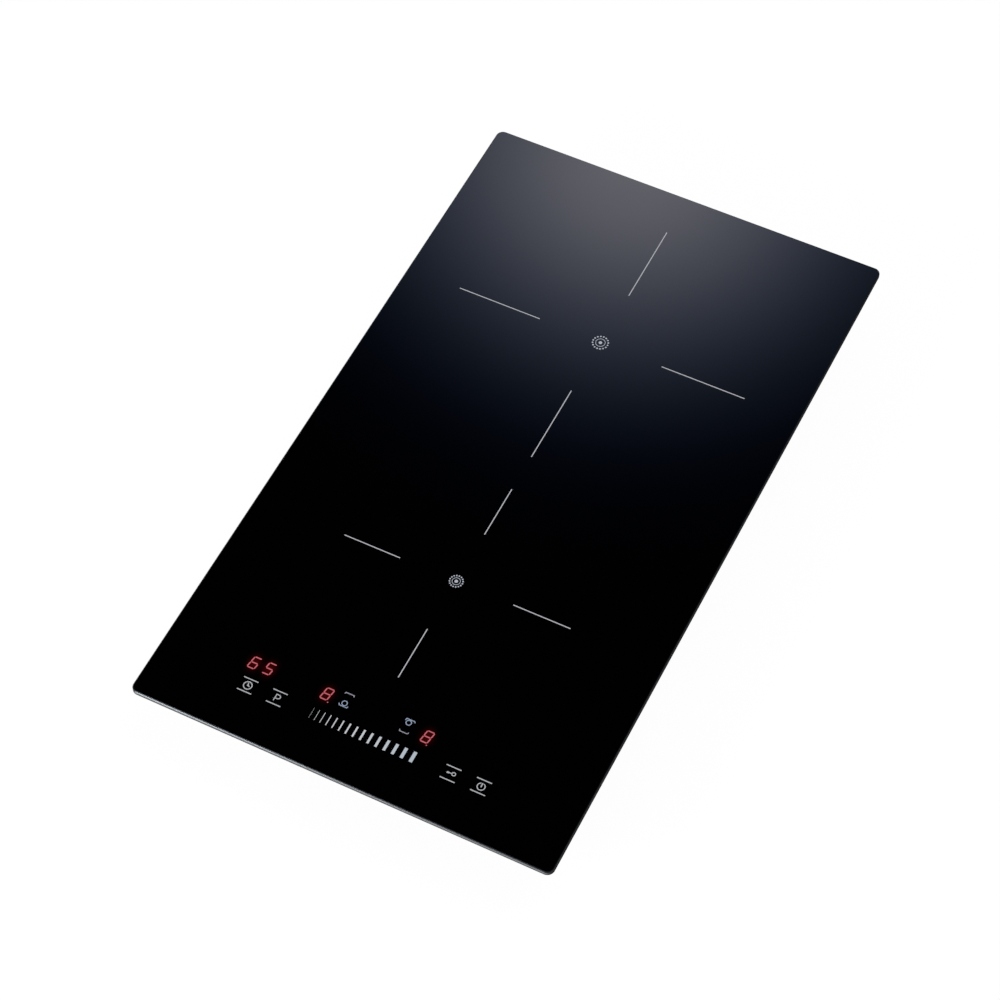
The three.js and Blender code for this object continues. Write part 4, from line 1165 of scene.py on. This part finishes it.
trayHoles = {
    "access": {"middle": (67, 17.3), "size": (48, 22), "corner": 2},
    "inlet": {"middle": (25.7, 17.3), "radius": 6.7},
    "screws": {"clamp": 2.7, "carrier": 2.2},  # radii
    "past": 3,  # how far the cutters reach past the sheet
}
ear = {"inner": 27.3, "length": 4, "y": 241.9, "z": 3.3, "radius": 2.55, "bore": 1.15}
posts = {
    "x": (-91, 91),
    "y": (-131, 113),
    "radius": 4,
    "foot": [(0.6, 0.5), (0.6, 1), (0, 1.8)],  # out from the post, and height
    "shoulderZ": 7.8,
    "pin": 1.6,
    "pinZ": 10.6,
    "edge": 0.4,
}


def holeShells():
    access, inlet, past = trayHoles["access"], trayHoles["inlet"], trayHoles["past"]
    back = tray["wall"][1]
    window = roundedRect(*boxAt(access["middle"], access["size"]), access["corner"])
    inletHole = circle(inlet["middle"], inlet["radius"], 36)
    shells = [prism(outline, back - past, back + past, "y") for outline in (window, inletHole)]
    for kind, radius in trayHoles["screws"].items():
        across, along = screwPlaces[kind]
        for x, y in corners:
            outline = circle((x * across, y * along), radius)
            shells.append(prism(outline, tray["stepZ"] - past, tray["stepZ"] + tray["sheet"] + past))
    x, reach = access["middle"][0], ear["inner"] + ear["length"] + 2
    return shells + [prism(circle((ear["y"], ear["z"]), ear["bore"]), x - reach, x + reach, "x")]


def earShells():
    # two lugs with round ends, welded to the back wall
    x, wall = trayHoles["access"]["middle"][0], tray["wall"][1] - tray["sheet"] / 2
    nose = arc((ear["y"], ear["z"]), ear["radius"], -90, 90, 12)
    outline = [(wall, ear["z"] - ear["radius"])] + nose + [(wall, ear["z"] + ear["radius"])]
    for side in (-1, 1):
        ends = (x + side * ear["inner"], x + side * (ear["inner"] + ear["length"]))
        yield prism(outline, *sorted(ends), "x")


def postShells():
    # stepped posts that hold the power board off the floor
    radius, pin, shoulder, top, edge = (posts[key] for key in ("radius", "pin", "shoulderZ", "pinZ", "edge"))
    profile = [(radius + out, z) for out, z in posts["foot"]] + [
        (radius, shoulder - edge), (radius - edge, shoulder),
        (pin, shoulder), (pin, top - edge), (pin - edge, top),
    ]
    return [turn(profile, (x, y, 0)) for x in posts["x"] for y in posts["y"]]


def makeTray():
    section = traySection(False)[::-1] + traySection(True)
    sheet = tray["sheet"]
    piece = toPiece("baseTray", [[trayRing(*station) for station in section]], finishes["tray_steel"])
    carve(piece, list(beadShells(sheet, sheet / 2, sheet)), "UNION")
    carve(piece, list(beadShells(0, -1, 0)))
    carve(piece, list(earShells()), "UNION")
    carve(piece, postShells(), "UNION")
    carve(piece, holeShells())
    carve(piece, list(intakeShells()))
    cutSlots(piece)
    settle(piece, "tray_steel", "base_tray")


makeTray()
print("tray made")


# small parts that repeat

def gridOfParts(tree, columns, rows, spanX, spanY, part):
    inputs = {"Size X": spanX, "Size Y": spanY, "Vertices X": columns, "Vertices Y": rows}
    points = node(tree, "GeometryNodeMeshGrid", inputs)
    return instances(points, node(tree, "GeometryNodeObjectInfo", {"Object": part}, "Geometry"))


def repeat(name, part, material, middle=(0, 0, 0), columns=1, rows=1, span=(0, 0), start=None):
    # copies of a part on a grid, beside what is there already
    lengths = {"spanX": float(span[0]), "spanY": float(span[1]), "middle": middle}
    piece = grow(name, gridOfParts, lengths, start, columns=columns, rows=rows, part=part, material=material)
    bpy.data.objects.remove(part)
    return piece


# screws

screws = {
    "head": {"radius": 4.5, "height": 2.6, "under": 0.3, "edge": 0.25},
    "dome": [(0.6, 1), (0.8, 0.94), (0.93, 0.8), (1, 0.58)],  # shares of the head's radius and height
    "recess": {"reach": 2.5, "blade": 1.5, "depth": 1.5, "taper": 0.7},
    "thread": {"pitch": 0.9, "depth": 0.32},
    "point": 0.45,  # share of the shank's radius
    "kinds": {
        # underside of the sheet, radius of the shank and tip
        "clamp": {"under": 19.7, "shank": 2.5, "tip": 31.7},
        "carrier": {"under": 22, "shank": 2, "tip": 33.5},
    },
}


def screwProfile(kind):
    head, pitch, shank = screws["head"], screws["thread"]["pitch"], kind["shank"]
    root = shank - screws["thread"]["depth"]
    radius, edge, top = head["radius"], head["edge"], kind["under"] - head["under"]
    profile = [(radius * share, kind["under"] - head["height"] * drop) for share, drop in screws["dome"]]
    profile += [(radius, top - edge), (radius - edge, top), (shank, top)]
    z = top + 2 * pitch
    while z < kind["tip"] - 2 * pitch:
        profile += [(shank, z), (root, z + pitch / 2)]
        z += pitch
    return profile + [(root, z), (shank * screws["point"], kind["tip"])]


def crossShell(low):
    # the recess for the driver: a quarter of its outline turned four times
    recess = screws["recess"]
    long, short = recess["reach"], recess["blade"] / 2
    quarter, outline = [(long, -short), (long, short), (short, short)], []
    for _ in range(4):
        outline += quarter
        quarter = [(-y, x) for x, y in quarter]
    levels = ((1, low - 1), (1, low), (recess["taper"], low + recess["depth"]))
    return [level([(x * size, y * size) for x, y in outline], z) for size, z in levels]


def makeScrews():
    for name, kind in screws["kinds"].items():
        part = toPiece("screw", [turn(screwProfile(kind), (0, 0, 0))])
        carve(part, [crossShell(kind["under"] - screws["head"]["height"])])
        span = [2 * distance for distance in screwPlaces[name]]
        piece = repeat(name + "Screws", part, finishes["fixing_steel"], columns=2, rows=2, span=span)
        nodes = [f"{name}_screw_{end}_{side}" for end in ("front", "rear") for side in ("left", "right")]
        settle(piece, "fixing_steel", *nodes)


makeScrews()
print("screws made")


# worktop clamps

clamp = {
    "width": 16,
    "sheet": 2,
    "top": 21.7,
    "low": 8.2,
    "bend": 12,  # from the screw to the drop's outer face
    "reach": 38,
    "tip": 13.2,
    "fold": 1,  # inner radius
    "toeCorner": 3,
    "hole": 2.8,
    "tooth": 2,
    "toothDepth": 1.3,
    "rounding": 0.3,
    "rib": {"half": 2.7, "ends": (16, 32), "slope": [(0, 0), (0.4, 0.54), (1.2, 0.9)]},
}


def strapOutline():
    # the bent strap seen from the side: (y, z) along the arm
    sheet, inner = clamp["sheet"], clamp["fold"]
    outer = inner + sheet
    top, low, reach = clamp["top"], clamp["low"], clamp["reach"]
    upper = (clamp["bend"] - outer, top - outer)
    lower = (clamp["bend"] + inner, low + outer)
    tip = (reach - outer, low + outer)
    back = -clamp["width"]
    outline = [(back, top)] + arc(upper, outer, 90, 0, 6) + arc(lower, inner, 180, 270, 4)
    outline += arc(tip, inner, 270, 360, 4) + [(reach - sheet, clamp["tip"]), (reach, clamp["tip"])]
    outline += arc(tip, outer, 0, -90, 6) + arc(lower, outer, 270, 180, 6)
    return outline + arc(upper, inner, 0, 90, 4) + [(back, top - sheet)]


def clampPlan():
    half, corner, reach = clamp["width"] / 2, clamp["toeCorner"], clamp["reach"]
    outline = arc((0, 0), half, 180, 360, 24)
    outline += arc((half - corner, reach - corner), corner, 0, 90, 6)
    return outline + arc((corner - half, reach - corner), corner, 90, 180, 6)


def teethShells():
    # the gaps between the teeth that bite into the worktop
    half, tooth, tip, reach = clamp["width"] / 2, clamp["tooth"], clamp["tip"], clamp["reach"]
    gap = [(-tooth / 2, 1), (-tooth / 2, 0), (0, -clamp["toothDepth"]), (tooth / 2, 0), (tooth / 2, 1)]
    for i in range(round(2 * half / tooth) - 1):
        yield prism(shifted(gap, (tooth * (i + 1) - half, tip)), reach - 5, reach + 1, "y")


def ribShell(grown, foot, base):
    half, (near, far) = clamp["rib"]["half"] + grown, clamp["rib"]["ends"]
    return hill((-half, near - grown), (half, far + grown), foot, base, clamp["rib"]["slope"])


def clampShape():
    half, low, above = clamp["width"] / 2, clamp["low"], clamp["top"] + 5
    toeTop = low + clamp["sheet"]
    piece = toPiece("clamp", [prism(strapOutline(), -half - 1, half + 1, "x")], finishes["clamp_steel"])
    carve(piece, [prism(clampPlan(), 0, above)], "INTERSECT")
    carve(piece, [prism(circle((0, 0), clamp["hole"]), low, above)])
    soften(piece, clamp["rounding"])
    carve(piece, list(teethShells()))
    carve(piece, [ribShell(1, toeTop - 1, toeTop)], "UNION")
    carve(piece, [ribShell(0, low - 1, low)])
    return piece


def makeClamps():
    shape = clampShape()
    for end, y, turned in (("front", -1, 0), ("rear", 1, math.pi)):
        for side, x in (("left", -1), ("right", 1)):
            mesh = shape.data.copy()
            place = Vector((x * screwPlaces["clamp"][0], y * screwPlaces["clamp"][1], 0)) * mm
            mesh.transform(Matrix.Translation(place) @ Matrix.Rotation(turned, 4, "Z"))
            piece = link(f"clamp{end.title()}{side.title()}", mesh)
            settle(piece, "clamp_steel", f"worktop_clamp_{end}_{side}", body=f"clamp_{end}_{side}")
    bpy.data.objects.remove(shape)


makeClamps()
print("clamps made")


# terminal cover, its hinge pin and the cable gland

cover = {
    "low": (40, 3.3),  # across and up
    "high": (94, 31.3),
    "face": (239.3, 241.3),
    "corner": 2,
    "rounding": 0.25,
    "window": {"sides": 3.5, "sill": 6, "top": 7, "corner": 1.5, "depth": 0.6},  # the sunk field
    "ribs": {"count": 12, "size": (1.3, 16), "height": 0.45, "foot": 0.2, "margin": 3, "taper": (0.6, 0.98)},
    "hinge": (241.9, 3.3),
    "barrel": {"outer": 2.6, "bore": 1.3, "length": 12, "count": 3, "chamfer": 0.3},
    "notch": {"top": 6.6, "foot": -2, "corner": 1},  # the gaps between the barrels
    "tab": (63, 71),
    # out from the face and down from the upper edge
    "tabSection": [(-0.8, -3.4), (0, -3.4), (1.7, -2.7), (2, -2.2), (2, -0.6), (1.5, 0), (-0.8, 0)],
}


def coverBarrel():
    barrel = cover["barrel"]
    outer, bore, half, chamfer = barrel["outer"], barrel["bore"], barrel["length"] / 2, barrel["chamfer"]
    end = [(bore, -half), (outer - chamfer, -half), (outer, chamfer - half)]
    profile = end + [(radius, -along) for radius, along in end[::-1]]
    return toPiece("barrel", [turn(profile, (0, *cover["hinge"]), "x", 28, closed=True)])


def coverRib():
    ribs = cover["ribs"]
    outline = roundedRect(*boxAt((0, 0), ribs["size"]), ribs["size"][0] * 0.45, 4)
    crest = [(x * ribs["taper"][0], z * ribs["taper"][1]) for x, z in outline]
    sides = ((outline, -ribs["foot"]), (crest, ribs["height"]))
    return toPiece("rib", [[[(x, y, z) for x, z in side] for side, y in sides]])


def makeCover():
    low, high, (inner, outer) = cover["low"], cover["high"], cover["face"]
    barrel, notch, window, ribs = (cover[key] for key in ("barrel", "notch", "window", "ribs"))
    material, middle, count = finishes["black_plastic"], (low[0] + high[0]) / 2, barrel["count"]
    depth = window["depth"]
    gap = (high[0] - low[0] - count * barrel["length"]) / (count - 1)
    step = barrel["length"] + gap
    panel = prism(roundedRect(low, high, cover["corner"], 6), inner, outer, "y")
    piece = toPiece("terminalCover", [panel], material)
    carve(piece, [prism(shifted(cover["tabSection"], (outer, high[1])), *cover["tab"], "x")], "UNION")
    notches = []
    for x in (middle - step / 2, middle + step / 2):
        outline = roundedRect((x - gap / 2, notch["foot"]), (x + gap / 2, notch["top"]), notch["corner"], 4)
        notches.append(prism(outline, inner - 1, outer + 1, "y"))
    carve(piece, notches)
    carve(piece, [prism(circle(cover["hinge"], barrel["bore"]), low[0] - 1, high[0] + 1, "x")])
    left, right = low[0] + window["sides"], high[0] - window["sides"]
    sill, top = low[1] + window["sill"], high[1] - window["top"]
    field = roundedRect((left, sill), (right, top), window["corner"], 4)
    carve(piece, [prism(field, outer - depth, outer + 1, "y")])
    soften(piece, cover["rounding"])
    span = (step * (count - 1), 0)
    repeat("barrels", coverBarrel(), material, (middle, 0, 0), count, span=span, start=piece)
    place, span = (middle, outer - depth, (sill + top) / 2), (right - left - 2 * ribs["margin"], 0)
    repeat("ribs", coverRib(), material, place, ribs["count"], span=span, start=piece)
    settle(piece, "black_plastic", "terminal_cover", body="terminal_cover")


pinEnd = [(0.4, 0), (0.8, 0.12), (1, 0.5)]  # share of the radius, and distance from the end


def makeHingePin():
    low, high = boxOf("cover_hinge_pin")
    radius, half = (high.z - low.z) / 2, (high.x - low.x) / 2
    end = [(share * radius, inset - half) for share, inset in pinEnd]
    profile = end + [(share, -along) for share, along in end[::-1]]
    makePart("hingePin", [turn(profile, (low + high) / 2, "x", 20)], "fixing_steel", "cover_hinge_pin")


gland = {
    "at": (25.7, 239.3, 17.3),
    # radius and height round the section: sleeve, flange, outer lip and bore
    "section": [
        (4.7, -2.0), (5.0, -2.3), (6.2, -2.3), (6.5, -2.0), (6.5, 0), (8.7, 0), (9, 0.25), (9, 0.75),
        (8.8, 1.0), (8.0, 1.1), (7.8, 0.95), (7.5, 0.95), (7.3, 1.15), (6.9, 1.5), (6.5, 1.85), (6.0, 2.0),
        (5.2, 2.0), (4.85, 1.85), (4.7, 1.5),
    ],
}

makeCover()
makeHingePin()
glandShell = turn(gland["section"], gland["at"], "y", 48, closed=True)
makePart("cableGland", [glandShell], "gland_rubber", "cable_gland")
print("cover, pin and gland made")


# terminals

terminals = {
    "count": 5,
    "pitch": 9,
    "middle": 67,
    "faces": (208.6, 216.4),
    "screw": {"z": 17.6, "radius": 2.7, "shank": 1.5, "sunk": 3.5, "head": 1.4, "edge": (0.4, 0.3)},
    "slot": (0.8, 0.9),  # width and depth
    "cage": {"z": 8.6, "outer": 5.4, "inner": 4.0, "corner": 0.4, "sunk": 1},
}


def terminalPart():
    # slotted screw over the brass cage that takes the wire
    back, front = terminals["faces"]
    screw, cage, (width, depth) = terminals["screw"], terminals["cage"], terminals["slot"]
    radius, z, top = screw["radius"], screw["z"], front - screw["sunk"]
    shank, under, (inwards, down) = screw["shank"], top - screw["head"], screw["edge"]
    profile = [(shank, back), (shank, under), (radius, under), (radius, top - down), (radius - inwards, top)]
    boxes = (boxAt((0, cage["z"]), (size, size)) for size in (cage["outer"], cage["inner"]))
    outer, inner = (
        prism(roundedRect(*box, cage["corner"], 3), back, front - cage["sunk"], "y") for box in boxes
    )
    part = toPiece("terminalPart", [turn(profile, (0, 0, z), "y"), outer + inner[::-1] + outer[:1]])
    slot = roundedRect(*boxAt((0, z), (2 * radius + 2, width)), 0.1, 1)
    carve(part, [prism(slot, top - depth, top + 1, "y")])
    return part


def makeTerminals():
    reach = terminals["pitch"] * (terminals["count"] - 1)
    place = (terminals["middle"], 0, 0)
    piece = repeat("terminalScrews", terminalPart(), brass, place, terminals["count"], span=(reach, 0))
    settle(piece, "fixing_steel")


makeTerminals()
print("terminals made")


# coil windings: a flat spiral of twisted strands

winding = {
    "width": 4.6,
    "height": 4.2,
    "pitch": 5.8,
    "lobes": 9,
    "lobeDepth": 0.13,
    "twist": 0.16,  # turn of the strands, radians a millimetre
    "stepsPerTurn": 120,
    "sides": 36,
    "coils": {
        "front": {"centre": (0, -96.1), "radius": 70, "turns": 7},
        "rear": {"centre": (0, 116.25), "radius": 92.15, "turns": 10},
    },
}


def spiralWinding(tree, turns, steps, outerRadius, innerRadius, wireRadius, sides, lobes, lobeDepth, twist):
    inputs = {
        "Resolution": steps, "Rotations": turns, "Start Radius": outerRadius, "End Radius": innerRadius,
        "Height": 0.0, "Reverse": True,
    }
    spiral = node(tree, "GeometryNodeCurveSpiral", inputs)
    tilt = times(node(tree, "GeometryNodeSplineParameter", output="Length"), twist)
    spiral = node(tree, "GeometryNodeSetCurveTilt", {"Curve": spiral, "Tilt": tilt})
    # strands: the round section dips between its lobes
    angle = maths("DIVIDE", times(node(tree, "GeometryNodeInputIndex"), 2 * math.pi), sides)
    dip = times(maths("SUBTRACT", 1.0, maths("COSINE", times(angle, lobes))), lobeDepth)
    place = node(tree, "GeometryNodeInputPosition")
    inputs = {"Vector": place, "Scale": maths("SUBTRACT", 1.0, dip)}
    place = node(tree, "ShaderNodeVectorMath", inputs, operation="SCALE")
    section = node(tree, "GeometryNodeCurvePrimitiveCircle", {"Resolution": sides, "Radius": wireRadius})
    return sweep(spiral, placed(section, place))


def makeWindings():
    for name, coil in winding["coils"].items():
        low, high = boxOf(name + "_coil_winding")
        outer = coil["radius"] - winding["width"] / 2
        lengths = {
            "outerRadius": outer, "innerRadius": outer - winding["pitch"] * coil["turns"],
            "wireRadius": winding["height"] / 2, "middle": (*coil["centre"], (low.z + high.z) / 2),
        }
        numbers = {
            "turns": coil["turns"], "steps": winding["stepsPerTurn"], "sides": winding["sides"],
            "lobes": winding["lobes"], "lobeDepth": winding["lobeDepth"] / 2, "twist": winding["twist"] / mm,
        }
        piece = grow(name + "Winding", spiralWinding, lengths, **numbers, material=finishes["copper_wire"])
        settle(piece, "copper_wire", name + "_coil_winding")


makeWindings()
print("windings made")


# fan wheel

wheel = {
    "at": (-50.5, 185.5),
    "low": 3.6,
    "high": 22.6,
    "radius": 32,
    "blades": 24,
    "bladeDepth": 7,
    "bladeLean": 0.16,  # radians that the outer edge runs ahead
    "bladeThickness": 0.9,
    "plate": 1.5,
    "hub": 14.8,
    "hubInside": 12.8,
    "shaft": 1.8,
    "boss": [(0, 0), (2, 0), (2.5, 0.5)],  # out from the shaft, and height
    "dish": [(1.5, 0.5), (0, 0.8)],  # in from the hub's inside, and height
    "fillet": 0.6,
    "rim": 29.7,
    "edge": 0.3,
    "steps": 64,
}


def fanBlades(tree, count, near, bend, far, thickness, height):
    inputs = {"Resolution": 8, "Start": near, "Middle": bend, "End": far}
    path = node(tree, "GeometryNodeCurveQuadraticBezier", inputs)
    path = node(tree, "GeometryNodeSetCurveNormal", {"Curve": path}, mode="Z_UP")
    blade = sweep(path, roundedSection(thickness, height, 0.35, 3))
    points = node(tree, "GeometryNodeMeshCircle", {"Vertices": count, "Radius": 0.0})
    turned = times(node(tree, "GeometryNodeInputIndex"), maths("DIVIDE", 2 * math.pi, count))
    return instances(points, blade, Rotation=vector(0, 0, turned))


def makeWheel():
    low, high, plate, edge = wheel["low"], wheel["high"], wheel["plate"], wheel["edge"]
    radius, hub, inside, shaft = wheel["radius"], wheel["hub"], wheel["hubInside"], wheel["shaft"]
    floor, top, outer, fillet = low + 2 * plate, high - plate, radius - edge, wheel["fillet"]
    rotor = [(shaft + out, low + up) for out, up in wheel["boss"]]
    rotor += [(inside - back, low + up) for back, up in wheel["dish"]]
    rotor += [
        (hub, floor), (hub, top - fillet), (hub + fillet, top), (outer, top),
        (radius, top + edge), (radius, high - edge), (outer, high),
        (inside + edge, high), (inside, high - edge), (inside, floor), (shaft, floor),
    ]
    rim, rimTop = wheel["rim"], low + plate
    hoop = [(rim, low), (outer, low), (radius, low + edge), (radius, rimTop), (rim, rimTop)]
    place = (*wheel["at"], 0)
    shells = [turn(profile, place, steps=wheel["steps"], closed=True) for profile in (rotor, hoop)]
    material = finishes["grey_plastic"]
    piece = toPiece("fanWheel", shells, material)
    near, lean = outer - wheel["bladeDepth"], wheel["bladeLean"]
    lengths = {
        "near": (near, 0, 0), "bend": ((near + outer) / 2, 0, 0),
        "far": (outer * math.cos(lean), outer * math.sin(lean), 0), "thickness": wheel["bladeThickness"],
        "height": high - low - plate, "middle": (*wheel["at"], (low + high) / 2),
    }
    grow("blades", fanBlades, lengths, piece, count=wheel["blades"], material=material)
    settle(piece, "grey_plastic", "fan_impeller", body="impeller")


makeWheel()
print("fan wheel made")


# filter choke: wire wound round a ring core

choke = {
    "radius": 15,
    "core": (4.3, 5.9),  # half width and half height of the core's oval section
    "coreSteps": 16,
    "wire": 0.8,
    "clearance": 0.1,
    "turns": 32,
    "wound": 0.94,  # share of the ring; a gap is left where the ends come off
    "stepsPerTurn": 20,
    "sides": 8,
}


def ringWinding(tree, turns, stepsPerTurn, sides, wound, ringRadius, halfWidth, halfHeight, wire):
    points = times(turns, stepsPerTurn)
    line = node(tree, "GeometryNodeMeshLine", {"Count": points})
    share = maths("DIVIDE", node(tree, "GeometryNodeInputIndex"), maths("SUBTRACT", points, 1))
    roundRing = times(share, wound, 2 * math.pi)
    roundCore = times(share, turns, 2 * math.pi)
    away = maths("MULTIPLY_ADD", maths("COSINE", roundCore), halfWidth, ringRadius)
    x, y = (times(away, maths(side, roundRing)) for side in ("COSINE", "SINE"))
    line = placed(line, vector(x, y, times(maths("SINE", roundCore), halfHeight)))
    path = node(tree, "GeometryNodeMeshToCurve", {"Mesh": line})
    return sweep(path, node(tree, "GeometryNodeCurvePrimitiveCircle", {"Resolution": sides, "Radius": wire}))


def makeChoke():
    low, high = boxOf("filter_choke")
    width, height = choke["core"]
    away = choke["wire"] + choke["clearance"]
    lengths = {
        "ringRadius": choke["radius"], "halfWidth": width + away, "halfHeight": height + away,
        "wire": choke["wire"], "middle": (low + high) / 2,
    }
    numbers = {key: choke[key] for key in ("turns", "stepsPerTurn", "sides", "wound")}
    piece = grow("filterChoke", ringWinding, lengths, **numbers, material=finishes["copper_wire"])
    section = [(choke["radius"] + width * x, height * y) for x, y in circle((0, 0), 1, choke["coreSteps"])]
    coreShell = turn(section, (low + high) / 2, steps=48, closed=True)
    core = toPiece("chokeCore", [coreShell], finishes["ferrite"])
    settle(piece, "copper_wire", "filter_choke")
    settle(core, "ferrite")


makeChoke()
print("choke made")


# inner parts: the carried-over shape with its edges eased

slotOf = {entry["node"]: entry["material_slot"] for entry in frame["record"]["subparts"]}

easedEdges = {
    # width by a word of the node's name
    "terminal_box": 0.4, "terminal_block": 0.3, "fan_housing": 0.4, "fan_motor": 0.6,
    "coil_carrier": 0.25, "control_holder": 0.35, "heat_sink": 0.25, "bridge_rectifier": 0.5,
    "front_zone_transistor": 0.5, "rear_zone_transistor": 0.5, "front_zone_capacitor": 1.0,
    "rear_zone_capacitor": 1.0, "smoothing_capacitor": 0.35, "standby_transformer": 0.6,
    "power_board": 0.15, "control_board": 0.15, "timer_display": 0.3, "front_zone_display": 0.3,
    "rear_zone_display": 0.3, "touch_light_guide": 0.3, "front_coil_former": 0.3,
    "rear_coil_former": 0.3, "front_insulation_disc": 0.15, "rear_insulation_disc": 0.15,
    "front_temperature_sensor": 0.5, "rear_temperature_sensor": 0.5, "ferrite_": 0.5,
}


def easeEdges(nodeName, width):
    mesh = frame["nodes"][nodeName].data.copy()
    bm = bmesh.new()
    bm.from_mesh(mesh)
    bmesh.ops.remove_doubles(bm, verts=bm.verts, dist=0.01 * mm)
    bmesh.ops.dissolve_limit(bm, angle_limit=math.radians(1), verts=bm.verts, edges=bm.edges)
    bm.to_mesh(mesh)
    bm.free()
    mesh.materials.clear()
    mesh.materials.append(finishes[slotOf[nodeName]])
    first, *words = nodeName.split("_")
    piece = link(first + "".join(word.title() for word in words), mesh)
    soften(piece, width)
    settle(piece, slotOf[nodeName], nodeName)


for word, easedWidth in easedEdges.items():
    for nodeName in slotOf:
        if word in nodeName:
            easeEdges(nodeName, easedWidth)
print("inner parts eased")


# carried-over parts

for nodeName, cadPiece in frame["nodes"].items():
    for materialSlot in cadPiece.material_slots:
        materialSlot.material = finishes[slotOf[nodeName]]
print("carried-over parts finished")
